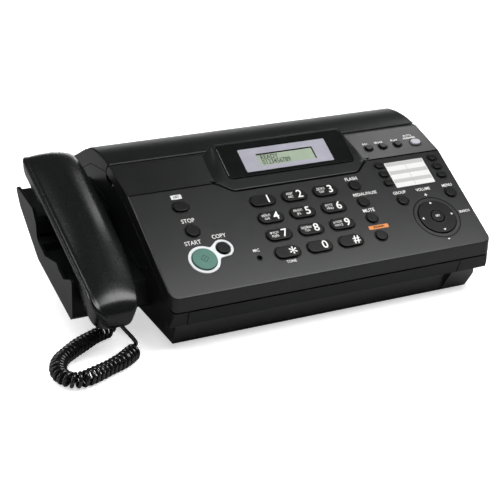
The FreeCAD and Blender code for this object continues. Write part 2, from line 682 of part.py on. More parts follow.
def cradle(body):
    """The pod that carries the handset: a rounded tub that overhangs the table, open above for the grip."""
    rim = [pod_point("pod_front", "26"), pod_point("pod_front + 4", "22.5"), pod_point("pod_step", "40.7"),
           pod_point("169", "69.9"), pod_point("pod_rear", "85.6"),
           pod_point("pod_step + 10.5", "pod_deck + 1"),
           pod_point("pod_step + 2.5", "pod_deck - 9"), pod_point("pod_step + 1", "pod_sill"),
           pod_point("pod_step - 18", "pod_sill - 7"), pod_point("pod_front + 35", "pod_sill - 1"),
           pod_point("pod_front + 30", "pod_sill - 4.5"), pod_point("pod_front + 19", "pod_sill - 8"),
           pod_point("pod_front", "pod_sill")]
    side_pad(body, "Pod", rim, POD_LEFT, "pod_width + 1")
    soften(body, "PodRound", at_side_points([rim[2], rim[4], rim[5], rim[12]]), "wall * 1.2")
    soften(body, "ScoopRound", at_side_points([rim[6], rim[7], rim[8]]), "wall * 3")
    inside = f"{POD_LEFT} + wall"
    floor = [pod_point("pod_front - 1", "cradle_floor"), pod_point("pod_step - 8", "cradle_floor + 3"),
             pod_point("pod_step + 4", "pod_deck - 5"), pod_point("pod_rear - wall", "pod_deck + 2"),
             pod_point("pod_rear - wall", "110"), pod_point("pod_front - 1", "110")]
    side_cut(body, "HandsetRoom", floor, inside, "pod_width - wall - 1")
    hollow = [pod_point("cradle_front", "26"), pod_point("pod_step - 2", "44.5"),
              pod_point("pod_step + 40", "71.5"),
              pod_point("pod_step + 42", "pod_deck - 4.5"), pod_point("pod_step + 6", "pod_deck - 8"),
              pod_point("pod_step - 5", "cradle_floor + 0.3"),
              pod_point("cradle_front", "cradle_floor - wall")]
    side_cut(body, "PodHollow", hollow, inside, "pod_width - wall - 1")
    bore = new_sketch(body, "HookBoreSketch", "XY_Plane", z="pod_sill + 12")
    round_outline(bore, (HOOK[0], HOOK[1]), "hook_radius + pin_fit")
    cut(body, "HookBore", bore, "30")


HOOK = (f"({POD_LEFT} + pod_width / 2)", f"({FRONT} + pod_step + 26)")


def hinge_ears(body):
    """Upright ears inside the side walls, bored for the panel's and the top cover's hinge pins."""
    half = "3"
    for side, start, wall_start in (("Left", f"{BODY_LEFT} + ear_inset", f"{BODY_LEFT} + wall - 0.5"),
                                    ("Right", f"{RIGHT} - ear_inset - ear", f"{RIGHT} - ear_inset - 1")):
        front_web = [(f"{PANEL_HINGE[0]} - {half}", f"{PANEL_HINGE[1]} - 26"),
                     (f"{PANEL_HINGE[0]} + {half}", f"{PANEL_HINGE[1]} - 26"),
                     (f"{PANEL_HINGE[0]} + {half}", PANEL_HINGE[1]),
                     (f"{PANEL_HINGE[0]} - {half}", PANEL_HINGE[1])]
        side_pad(body, f"{side}FrontEar", front_web, start, "ear")
        side_disc(body, f"{side}FrontEye", PANEL_HINGE, "ear_radius", start, "ear")
        side_disc(body, f"{side}FrontBore", PANEL_HINGE, "pin + pin_fit", f"{start} - 1", "ear + 2",
                  remove=True)
        foot = [(f"{PANEL_HINGE[0]} - 8", f"{PANEL_HINGE[1]} - 27"),
                (f"{PANEL_HINGE[0]} + 8", f"{PANEL_HINGE[1]} - 27"),
                (f"{PANEL_HINGE[0]} + 8", f"{PANEL_HINGE[1]} - 18"),
                (f"{PANEL_HINGE[0]} - 8", f"{PANEL_HINGE[1]} - 18")]
        side_pad(body, f"{side}FrontFoot", foot, wall_start, "ear_inset - wall + 1.5")
        arm = [around(COVER_HINGE, "4.7", "150"), (f"{COVER_HINGE[0]} - 22", f"{COVER_HINGE[1]} - 17"),
               (f"{COVER_HINGE[0]} - 22", f"{COVER_HINGE[1]} - 24"),
               (f"{COVER_HINGE[0]} - 14", f"{COVER_HINGE[1]} - 24"),
               around(COVER_HINGE, "4.7", "-75")]
        side_pad(body, f"{side}RearEar", arm, start, "ear")
        side_disc(body, f"{side}RearEye", COVER_HINGE, "ear_radius", start, "ear")
        side_disc(body, f"{side}RearBore", COVER_HINGE, "pin + pin_fit", f"{start} - 1", "ear + 2",
                  remove=True)
        rear_foot = box_places(f"{COVER_HINGE[0]} - 24", f"{COVER_HINGE[0]} - 12", f"{COVER_HINGE[1]} - 27",
                               f"{COVER_HINGE[1]} - 18")
        side_pad(body, f"{side}RearFoot", rear_foot, wall_start, "ear_inset - wall + 1.5")


# ---------------------------------------------------------------- operation panel
def panel_skin(depth, start):
    """The panel's surface line from the lip to the hinge barrel, moved inwards by depth."""
    return [on_slope(start, f"(-({depth}))"), below_corner(depth), on_band("band_length", f"(-({depth}))")]


def on_panel_rim(edge, middle):
    """Whether an edge bounds the panel's top, except across its groove and along its barrel."""
    ends = [edge.valueAt(edge.FirstParameter), edge.valueAt(edge.LastParameter)]
    return all(abs(rise_over_panel(point)) < 0.05 for point in ends + [middle]) and (
        not runs_along_x(edge) or middle.y < value(FRONT) + 1)


def rise_over_panel(point):
    """Height of a point over the slope or the band, whichever it is under."""
    corner = flat(GROOVE)
    tilt = math.radians(value("keypad_tilt" if point.y < corner.x else "band_tilt"))
    return (point.z - corner.y) * math.cos(tilt) - (point.y - corner.x) * math.sin(tilt)


def keypad_panel():
    """Operation panel: front skirt, keypad slope and band in one shell that swings on its hinge barrel."""
    body = new_body("keypad_panel")
    tail = around(PANEL_HINGE, "barrel", "-3.7")
    skirt = [(FRONT, "lip_bottom"), (FRONT, "lip_height"), GROOVE, on_band("band_length", "0"), tail,
             on_band("band_length - 9", "(-skirt_drop)"), below_corner("skirt_drop"),
             on_slope("(skirt_drop * tan(keypad_tilt) - 3)", "(-skirt_drop)")]
    side_pad(body, "Skirt", skirt, BODY_LEFT, "body_width", {3: (PANEL_HINGE, "barrel", False)})
    round_front_corners(body, BODY_LEFT, RIGHT, FRONT)
    soften(body, "RimRound", on_panel_rim, "rim_radius")
    inner_tail = around(PANEL_HINGE, "barrel - wall", "-3.7")
    inside = [(f"{FRONT} + wall", "lip_bottom - 5"),
              (f"{FRONT} + wall", "lip_height + wall * tan(keypad_tilt) - wall / cos(keypad_tilt)"),
              below_corner("wall"), on_band("band_length", "(-wall)"), inner_tail,
              (inner_tail[0], f"{PANEL_HINGE[1]} - 30"), (f"{FRONT} + 30", "lip_bottom - 5")]
    side_cut(body, "Hollow", inside, f"{BODY_LEFT} + wall", "body_width - 2 * wall",
             {3: (PANEL_HINGE, "barrel - wall", False)})
    crease = [on_slope("keypad_length - groove_width", "1"),
              on_slope("keypad_length - groove_width / 2", "(-groove_width)"),
              on_band("groove_width / 2", "(-groove_width)"), on_band("groove_width / 2", "1")]
    side_cut(body, "CreaseGroove", crease, f"{BODY_LEFT} - 1", "body_width + 2")
    display_opening(body)
    for side, start in (("Left", f"{BODY_LEFT} + 1"), ("Right", f"{RIGHT} - ear_inset - ear - 0.5")):
        side_disc(body, f"{side}Pin", PANEL_HINGE, "pin", start, "ear_inset + ear - 0.5")
    key_openings(body)
    return body


def display_opening(body):
    """Cut-away under the display housing, in the slope's flat and in the band."""
    sketch = slope_sketch(body, "DisplayFlatSketch", rise="2")
    outline(sketch, display_flat(0))
    cut(body, "DisplayFlat", sketch, "wall + 6", reverse=True)
    window = new_sketch(body, "DisplayHoleSketch", "XY_Plane", z="50")
    outline(window,
            box_places(f"{BODY_LEFT} + display_top_left + 1", f"{BODY_LEFT} + display_top_right - 1",
                               f"{GROOVE[0]} - 1", f"{on_band('24', '0')[0]}"))
    cut(body, "DisplayHole", window, "80")


def slope_sketch(body, name, rise="0"):
    """A sketch lying in the keypad slope, x across and y up the slope."""
    place = on_slope("0", rise)
    return new_sketch(body, name, "XY_Plane", y=place[0], z=place[1], tilt="keypad_tilt")


def display_flat(gap):
    """Outline, in the slope, of the display housing's flush front edge."""
    return [(f"({BODY_LEFT} + display_left + 18.5 + {gap})", f"(display_low + {gap})"),
            (f"({BODY_LEFT} + display_right - 21 - {gap})", f"(display_low + {gap})"),
            (f"({BODY_LEFT} + display_right - {gap})", "(keypad_length + 3)"),
            (f"({BODY_LEFT} + display_left + {gap})", "(keypad_length + 3)")]


def key_table():
    """Every key as (name, surface, x, up, width, depth), the last four as expressions."""
    keys = []
    for row, names in enumerate(DIAL_ROWS):
        for column, name in enumerate(names):
            keys.append((name, "slope", f"({BODY_LEFT} + dial_across + {column} * dial_pitch_across)",
                         f"(dial_up - {row} * dial_pitch_up)", "dial_width", "dial_depth"))
    for surface, names in (("slope", SLOPE_KEYS), ("band", BAND_KEYS)):
        for name in names:
            keys.append((name, surface, f"({BODY_LEFT} + {name}_across)", f"({name}_up)", f"{name}_width",
                         f"{name}_deep"))
    return keys


def surface_offset(surface, rise="0"):
    """Placement of a frame lying in the slope or in the band."""
    if surface == "slope":
        place, tilt = on_slope("0", rise), "keypad_tilt"
    else:
        place, tilt = on_band("0", rise), "band_tilt"
    return {"y": place[0], "z": place[1], "tilt": tilt}


def key_openings(body):
    """Openings for the keys, the navigator ring and the microphone."""
    sketches = {surface: new_sketch(body, f"{surface.title()}HolesSketch", "XY_Plane",
                                    **surface_offset(surface, "1"))
                for surface in ("slope", "band")}
    for name, surface, x, up, width, depth in key_table():
        if name != "set_key":
            oval_outline(sketches[surface], (x, up), f"({width} + 2 * key_gap)", f"({depth} + 2 * key_gap)")
    ring = (f"({BODY_LEFT} + ring_across)", "ring_up")
    round_outline(sketches["slope"], ring, "ring_radius + 2 * key_gap")
    round_outline(sketches["slope"], (f"({BODY_LEFT} + 82.7)", "23.1"), "1.8")
    for surface, sketch in sketches.items():
        cut(body, f"{surface.title()}Holes", sketch, "wall + 4", reverse=True)


def key_caps():
    """Each key: a cap that stands proud of the panel on a wider retaining flange."""
    for name, surface, x, up, width, depth in key_table():
        body = new_body(name)
        pose(body, "Placement", **surface_offset(surface))
        flange = new_sketch(body, "FlangeSketch", "XY_Plane", z="-(wall + 0.05)")
        if name == "set_key":
            oval_outline(flange, (x, up), f"({width})", f"({depth})")
        else:
            oval_outline(flange, (x, up), f"({width} + 2 * key_flange)", f"({depth} + 2 * key_flange)")
        pad(body, "Flange", flange, "key_flange", reverse=True)
        cap = new_sketch(body, "CapSketch", "XY_Plane", z="-(wall + 0.05)")
        oval_outline(cap, (x, up), width, depth)
        pad(body, "Cap", cap, "wall + 0.05 + key_rise")
        top = value("key_rise")
        soften(body, "CapEdge", lambda edge, middle: abs(middle.z - top) < 0.01, "key_edge")


def navigator_ring():
    """Rocking ring around the set key; two lugs carry its pivot pins under the panel."""
    body = new_body("navigator_ring")
    pose(body, "Placement", **surface_offset("slope"))
    centre = (f"({BODY_LEFT} + ring_across)", "ring_up")
    disc = new_sketch(body, "DiscSketch", "XY_Plane", z="-1")
    round_outline(disc, centre, "ring_radius")
    round_outline(disc, centre, "ring_hole + 0.2")
    pad(body, "Disc", disc, "1 + ring_rise")
    top = value("ring_rise")
    soften(body, "DiscEdge", lambda edge, middle: abs(middle.z - top) < 0.01 and edge.Length > 60,
           "key_edge")
    for side, way in (("Left", -1), ("Right", 1)):
        near, far = (f"({centre[0]} + {way * reach})" for reach in (12.5, 15.5))
        lug = new_sketch(body, f"{side}LugSketch", "XY_Plane", z="-(ring_pivot + 0.8)")
        outline(lug, box_places(*sorted((near, far), key=value), "ring_up - 1.5", "ring_up + 1.5"))
        pad(body, f"{side}Lug", lug, "ring_pivot")
        start = f"({centre[0]} + {15 if way > 0 else -19.5})"
        side_disc(body, f"{side}Pivot", ("ring_up", "(-ring_pivot)"), "0.8", start, "4.5")
    return body


def display_panel():
    """Display housing: a hollow wedge that carries on the slope above the band, with splayed sides."""
    body = new_body("display_panel")
    ridge = on_slope("display_ridge", "0")
    foot = on_band(f"(({ridge[0]}) - ({GROOVE[0]})) / cos(band_tilt)", "0.02")
    left = f"({BODY_LEFT} + display_left)"
    right = f"({BODY_LEFT} + display_right)"
    toe = on_band("0.8", "0.02")
    side_pad(body, "Wedge", [on_slope("keypad_length + 0.9", "0"), ridge, foot, toe], left,
             f"{right} - {left}")
    flat_sketch = slope_sketch(body, "FlatSketch")
    outline(flat_sketch, display_flat("display_seam"))
    pad(body, "Flat", flat_sketch, "wall", reverse=True)
    slant = f"(display_top_left - display_left) * 1.3"
    for side, edge, way in (("Left", left, "+"), ("Right", right, "-")):
        sketch = new_sketch(body, f"{side}SplaySketch", "XZ_Plane", y=GROOVE[1], z=f"-({GROOVE[0]} - 12)")
        pose(sketch, "AttachmentOffset", y=f"({GROOVE[1]} - 3.4)", z=f"-({GROOVE[0]} - 12)",
             tilt="-band_tilt")
        outline(sketch, [(f"{edge} {'-' if way == '+' else '+'} 1", "0"), (edge, "0"),
                         (f"{edge} {way} {slant}", "12.6"),
                         (f"{edge} {'-' if way == '+' else '+'} 1", "12.6")])
        cut(body, f"{side}Splay", sketch, "60", reverse=True)
    hollow = [on_slope("keypad_length + 9", "(-wall)"), on_slope("display_ridge - wall", "(-wall)"),
              (f"({foot[0]} - wall)", f"({foot[1]} - 1)"), on_band("14", "-1")]
    side_cut(body, "Hollow", hollow, f"{BODY_LEFT} + display_top_left + 3",
             "display_top_right - display_top_left - 6")
    window = slope_sketch(body, "WindowSketch", rise="1")
    outline(window, box_places(f"{BODY_LEFT} + window_left", f"{BODY_LEFT} + window_right", "window_low",
                               "window_high"))
    cut(body, "WindowRecess", window, "1 + window_depth", reverse=True)
    return body


def display_window():
    """Clear cover plate of the display, let into the housing."""
    body = new_body("display_window")
    pose(body, "Placement", **surface_offset("slope"))
    plate = new_sketch(body, "PlateSketch", "XY_Plane", z="-(window_depth - 0.02)")
    fit = "0.1"
    outline(plate, box_places(f"{BODY_LEFT} + window_left + {fit}", f"{BODY_LEFT} + window_right - {fit}",
                              f"window_low + {fit}", f"window_high - {fit}"))
    pad(body, "Plate", plate, "window_depth - 0.3")
    return body


def control_board():
    """Key board under the slope, with switch domes' carrier strips and screw posts up to the panel."""
    body = new_body("control_board")
    pose(body, "Placement", **surface_offset("slope"))
    plate = new_sketch(body, "PlateSketch", "XY_Plane", z="-board_gap")
    outline(plate, box_places(f"{BODY_LEFT} + 12", f"{RIGHT} - 12", "12", "display_low + 5"))
    pad(body, "Plate", plate, "board_thick", reverse=True)
    posts = new_sketch(body, "PostsSketch", "XY_Plane", z="-(board_gap + 0.5)")
    for across in ("20", "90", "210", "270"):
        round_outline(posts, (f"({BODY_LEFT} + {across})",
                              "15" if across == "90" else "98 - 5" if across == "20" else "14"), "2")
    pad(body, "Posts", posts, "board_gap + 0.5 - wall - 0.02")
    connector = new_sketch(body, "ConnectorSketch", "XY_Plane", z="-(board_gap + board_thick - 0.5)")
    outline(connector, box_places(f"{BODY_LEFT} + 130", f"{BODY_LEFT} + 160", "40", "48"))
    pad(body, "Connector", connector, "6", reverse=True)
    return body


# ---------------------------------------------------------------- top cover
def cover_tip():
    return around(PANEL_HINGE, "barrel + seam", "crease")


CROWN_END = ("crown_end", "crown_end_height")
REAR_TANGENT = around(COVER_HINGE, "barrel", "61")


def top_cover():
    """Rear cover: crowned roof, straight rear slope with the document slot, and the rear hinge barrel."""
    body = new_body("top_cover")
    tip = cover_tip()
    lip = (f"({tip[0]} + 0.6)", f"({tip[1]} + 0.9)")
    low = around(PANEL_HINGE, "barrel + seam", "5")
    tail = around(COVER_HINGE, "barrel", "-19")
    crown_centre = (f"(({lip[0]} + crown_end) / 2 - 1)", f"({lip[1]} - crown_radius + 2.4)")
    side_pad(body, "Skin", [tip, lip, CROWN_END, REAR_TANGENT, tail, SIDE_REAR, COVER_SIDE, low],
             BODY_LEFT, "body_width",
             {1: (crown_centre, "crown_radius", False), 3: (COVER_HINGE, "barrel", False),
              7: (PANEL_HINGE, "barrel + seam", True)})
    inner_tail = around(COVER_HINGE, "barrel - wall", "-19")
    inner_top = around(COVER_HINGE, "barrel - wall", "61")
    inside = [(f"({low[0]} + wall)", f"({low[1]} - 15)"), (f"({tip[0]} + wall + 2)", f"({lip[1]} - wall)"),
              (f"(({lip[0]} + crown_end) / 2)", f"({lip[1]} - wall + 2)"),
              ("(crown_end - 1)", "(crown_end_height - wall)"),
              inner_top, inner_tail, (inner_tail[0], f"({inner_tail[1]} - 30)")]
    side_cut(body, "Hollow", inside, f"{BODY_LEFT} + wall", "body_width - 2 * wall",
             {4: (COVER_HINGE, "barrel - wall", False)})
    for side, start in (("Left", f"{BODY_LEFT} + 1"), ("Right", f"{RIGHT} - ear_inset - ear - 0.5")):
        side_disc(body, f"{side}Pin", COVER_HINGE, "pin", start, "ear_inset + ear - 0.5")
    slot = rear_slope_sketch(body, "SlotSketch", "2")
    middle = "((paper_left + paper_right) / 2)"
    outline(slot, box_places(f"{middle} - slot_length / 2", f"{middle} + slot_length / 2", "slot_start",
                             "slot_start + slot_gap"))
    cut(body, "DocumentSlot", slot, "wall + 6", reverse=True)
    slits = rear_slope_sketch(body, "SlitsSketch", "2")
    up = "guide_start + guide_length / 2"
    for start in (f"{middle} - guide_spread / 2 - 3", f"{middle} + guide_spread / 2 + 3 - slit_length"):
        outline(slits, box_places(start, f"{start} + slit_length", f"{up} - slit_width / 2",
                                  f"{up} + slit_width / 2"))
    cut(body, "GuideSlits", slits, "wall + 4", reverse=True)
    soften(body, "RoofBend", at_side_points([CROWN_END]), "24")
    soften(body, "SideRound", lambda edge, middle: middle.z > 84 and edge.Length > 20
           and abs(abs(middle.x - value(f"{BODY_LEFT} + body_width / 2")) - value("body_width / 2")) < 0.05
           and not runs_along_x(edge) and middle.z > value(SIDE_REAR[1]) + 8 and top_side(middle),
           "wall * 0.6")
    return body


def top_side(middle):
    """Whether a point of the cover's side lies on its upper outline rather than on its lower edge."""
    chord = value(f"{COVER_SIDE[1]}") + (value(COVER_SIDE[0]) - middle.y) * 0.1
    lower = min(chord, value(SIDE_REAR[1]) + (value(SIDE_REAR[0]) - middle.y) * 0.62)
    return middle.z > lower + 5


def rear_tilt():
    run = f"({REAR_TANGENT[0]} - crown_end)"
    fall = f"({REAR_TANGENT[1]} - crown_end_height)"
    return f"atan({fall} / {run})"


def rear_slope_offset(rise):
    place = along(("crown_end", "crown_end_height"), "0", rise, rear_tilt())
    return {"y": place[0], "z": place[1], "tilt": rear_tilt()}


def rear_slope_sketch(body, name, rise="0"):
    return new_sketch(body, name, "XY_Plane", **rear_slope_offset(rise))


def document_guides():
    """Two guides on the rear slope; each has a tongue through its slit and a keeper under the cover."""
    middle = "((paper_left + paper_right) / 2)"
    up = "(guide_start + guide_length / 2)"
    for name, way in (("document_guide_left", "-"), ("document_guide_right", "+")):
        body = new_body(name)
        pose(body, "Placement", **rear_slope_offset("0"))
        inner = f"({middle} {way} guide_spread / 2)"
        outer = f"({inner} {way} guide_foot)"
        fin = f"({inner} {way} guide_thick)"
        order = (lambda first, second: (first, second)) if way == "+" else (lambda first,
                                                                            second: (second, first))
        foot = new_sketch(body, "FootSketch", "XY_Plane", z="0.1")
        outline(foot, box_places(*order(inner, outer), "guide_start", "guide_start + guide_length"))
        pad(body, "Foot", foot, "2")
        blade = new_sketch(body, "BladeSketch", "XY_Plane", z="0.1")
        outline(blade, box_places(*order(inner, fin), "guide_start", "guide_start + guide_length"))
        pad(body, "Blade", blade, "guide_height")
        inwards = "-" if way == "+" else "+"
        tongue_far = f"({inner} {inwards} 2)"
        tongue = new_sketch(body, "TongueSketch", "XY_Plane", z="1")
        outline(tongue, box_places(*order(f"({inner} {inwards} 0.4)", f"({inner} {way} 2)"),
                                   f"{up} - slit_width / 2 + 0.15",
                                   f"{up} + slit_width / 2 - 0.15"))
        pad(body, "Tongue", tongue, "1 + wall + 2", reverse=True)
        keeper = new_sketch(body, "KeeperSketch", "XY_Plane", z="-(wall + 0.4)")
        outline(keeper, box_places(*order(tongue_far, f"({inner} {way} 2)"), f"{up} - 5", f"{up} + 5"))
        pad(body, "Keeper", keeper, "1.6", reverse=True)


# ---------------------------------------------------------------- handset
def on_handset(length, rise):
    return along((f"({FRONT} + handset_front)", "handset_ridge"), length, rise, "handset_tilt")


def handset():
    """Handset in two moulded halves: the lower one with ear and mouth heads, the upper one crowned."""
    left = f"({POD_LEFT} + handset_left)"
    split = "(-handset_split)"
    shell = new_body("handset_shell")
    side_pad(shell, "Bar",
             [on_handset("0", split), on_handset("-1", "-12"), on_handset("6", "-mouth_depth"),
                            on_handset("mouth_length", "-mouth_depth"),
                            on_handset("mouth_length + 9", "-grip_depth"),
                            on_handset("ear_start - 8", "-grip_depth"),
                            on_handset("ear_start", "-ear_depth"),
                            on_handset("handset_length - 10", "-ear_depth"),
                            on_handset("handset_length", "-8"),
                            on_handset("handset_length", split)], left, "handset_width")
    soften(shell, "Heads",
           at_side_points([on_handset("6", "-mouth_depth"), on_handset("handset_length - 10", "-ear_depth"),
                                           on_handset("mouth_length + 9", "-grip_depth")]), "5")
    cover = new_body("handset_cover")
    side_pad(cover, "Crown",
             [on_handset("0", split), on_handset("1", "2"), on_handset("12", "handset_crown"),
                              on_handset("handset_length - 14", "handset_crown"),
                              on_handset("handset_length - 1", "1"),
                              on_handset("handset_length", split)], left, "handset_width")
    soften(cover, "CrownSides", lambda edge, middle: not runs_along_x(edge) and edge.Length > 150
           and middle.z > value(on_handset("100", "2")[1]), "handset_crown - 1")


def hook_switch():
    """Plunger that the resting handset holds down, guided by the bore in the cradle's deck."""
    along = f"({HOOK[1]} - ({FRONT}) - handset_front) / cos(handset_tilt)"
    top = f"({on_handset(along, '-ear_depth')[1]} - 5)"
    joined("hook_switch", [
        upright("HookPin", "hook_radius", *HOOK, "pod_sill + 9", f"{top} - pod_sill - 9"),
        upright("HookCollar", "hook_radius + 1.5", *HOOK, "pod_sill + 9", "2")])


def handset_cord():
    """Coiled lead as a plain tube: a loop on the table from under the mouth end back to the case."""
    left = value(POD_LEFT)
    front = value(FRONT)
    height = value("cord_radius") + 0.1
    loop = ((38, 12), (12, -4), (-13, -13), (-26, 2), (-6, 31), (30, 51), (62, 60))
    places = [Vector(left + across, front + back, height) for across, back in loop]
    path = Part.BSplineCurve()
    path.interpolate(places)
    ring = Part.Wire(Part.makeCircle(value("cord_radius"), places[0], path.tangent(path.FirstParameter)[0]))
    tube = Part.Wire(path.toShape()).makePipeShell([ring], True, True)
    solid_part("handset_cord", tube, 0, 0)


# ---------------------------------------------------------------- feet and fasteners
def fasteners():
    """Four rubber feet, and the screws that hold the case halves together from below."""
    inset = 14
    feet = []
    corners = [(x, y) for x in (f"{BASE_LEFT} + {inset}", f"{BASE_RIGHT} - {inset}")
               for y in (f"{BASE_TOE} + {inset}", f"{BASE_REAR} - {inset}")]
    for index, (x, y) in enumerate(corners):
        feet.append(upright(f"Foot{index}", "7", x, y, "0", "foot_height"))
    grouped("rubber_feet", feet)
    screws = []
    places = [(x, y) for x in (f"{BASE_LEFT} + 34", f"{BASE_RIGHT} - 34") for y in ("-70", "20", "90")]
    for index, (x, y) in enumerate(places):
        head = upright(f"ScrewHead{index}", "3", x, y, "base_bottom - 1.8", "1.8")
        screws.append(head)
    grouped("case_screws", screws)


# ---------------------------------------------------------------- build and write
lower_case()
paper_drive()
motor_and_power()
electronics()
printing_parts()
upper_case()
keypad_panel()
display_panel()
display_window()
control_board()
key_caps()
navigator_ring()
top_cover()
document_guides()
handset()
hook_switch()
handset_cord()
fasteners()
DOC.recompute()

faults = [f"{thing.Label}: {thing.State}" for thing in DOC.Objects
          if "Invalid" in thing.State or "Error" in thing.State]
for thing in SUB_PARTS:
    if thing.Shape.isNull() or not thing.Shape.isValid() or not thing.Shape.Solids:
        faults.append(f"{thing.Label}: shape is not a valid solid")
if faults:
    raise SystemExit("\n".join(faults))
os.makedirs("parts", exist_ok=True)
for thing in SUB_PARTS:
    thing.Shape.exportStep(f"parts/{thing.Label}.step")
print(len(SUB_PARTS), "sub-parts written")
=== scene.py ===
"""Looks of a desk-top thermal fax machine with a corded handset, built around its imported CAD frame."""
import math

import bmesh
import bpy
from mathutils import Matrix, Vector
from mathutils.geometry import delaunay_2d_cdt


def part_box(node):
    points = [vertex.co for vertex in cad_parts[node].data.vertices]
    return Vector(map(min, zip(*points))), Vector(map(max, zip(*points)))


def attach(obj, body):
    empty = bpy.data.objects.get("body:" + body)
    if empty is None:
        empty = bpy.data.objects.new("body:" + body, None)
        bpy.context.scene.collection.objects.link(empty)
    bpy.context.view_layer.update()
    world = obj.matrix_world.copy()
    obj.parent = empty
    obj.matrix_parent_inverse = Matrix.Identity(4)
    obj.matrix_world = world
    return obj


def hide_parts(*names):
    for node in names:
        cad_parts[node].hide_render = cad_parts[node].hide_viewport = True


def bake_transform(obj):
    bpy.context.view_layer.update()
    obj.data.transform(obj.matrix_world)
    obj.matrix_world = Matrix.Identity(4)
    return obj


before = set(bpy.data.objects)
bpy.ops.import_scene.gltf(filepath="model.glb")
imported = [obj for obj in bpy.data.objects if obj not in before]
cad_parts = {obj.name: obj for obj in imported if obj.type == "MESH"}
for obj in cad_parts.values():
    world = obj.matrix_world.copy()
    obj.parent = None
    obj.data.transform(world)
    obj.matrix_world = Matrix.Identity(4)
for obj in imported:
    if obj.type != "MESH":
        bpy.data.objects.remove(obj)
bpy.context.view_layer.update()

MM = 0.001
PANEL_BODY = "operation_panel"
INK = (0.80, 0.80, 0.78)


# ---------------------------------------------------------------- surfaces that details lie on
class Surface:
    """A plane tilted about X: x across, up along the slope, rise square to it."""

    def __init__(self, y, z, tilt):
        self.base = Vector((0, y, z))
        self.along = Vector((0, math.cos(tilt), math.sin(tilt)))
        self.normal = Vector((0, -math.sin(tilt), math.cos(tilt)))

    def at(self, x, up, rise=0.0):
        return self.base + Vector((x, 0, 0)) + self.along * up + self.normal * rise

    def matrix(self, x=0.0, up=0.0, rise=0.0, turn=0.0):
        columns = Matrix((Vector((1, 0, 0)), self.along, self.normal)).transposed().to_4x4()
        return Matrix.Translation(self.at(x, up, rise)) @ columns @ Matrix.Rotation(turn, 4, "Z")

    def local(self, point):
        """A point's x, up and rise."""
        offset = point - self.base
        return Vector((offset.x, offset.dot(self.along), offset.dot(self.normal)))


PANEL_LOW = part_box("keypad_panel")[0]
LEFT = PANEL_LOW[0]
LIP_HEIGHT = PANEL_LOW[2] + 11.8 * MM
KEYPAD_LENGTH = 100.8 * MM
KEYPAD_TILT, BAND_TILT = math.radians(30), math.radians(16)
PANEL_BEND = math.radians(14)
SLOPE = Surface(PANEL_LOW[1], LIP_HEIGHT, KEYPAD_TILT)
GROOVE = SLOPE.at(0, KEYPAD_LENGTH)
BAND = Surface(GROOVE.y, GROOVE.z, BAND_TILT)


def cap_place(name, surface):
    """Middle and top of a key's cap, and its half sizes, in its surface's coordinates."""
    points = [surface.local(vertex.co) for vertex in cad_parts[name].data.vertices]
    top = max(point.z for point in points)
    crown = [point for point in points if point.z > top - 0.9 * MM]
    low = Vector((min(p.x for p in crown), min(p.y for p in crown), top))
    high = Vector((max(p.x for p in crown), max(p.y for p in crown), top))
    return (low + high) / 2, (high - low) / 2


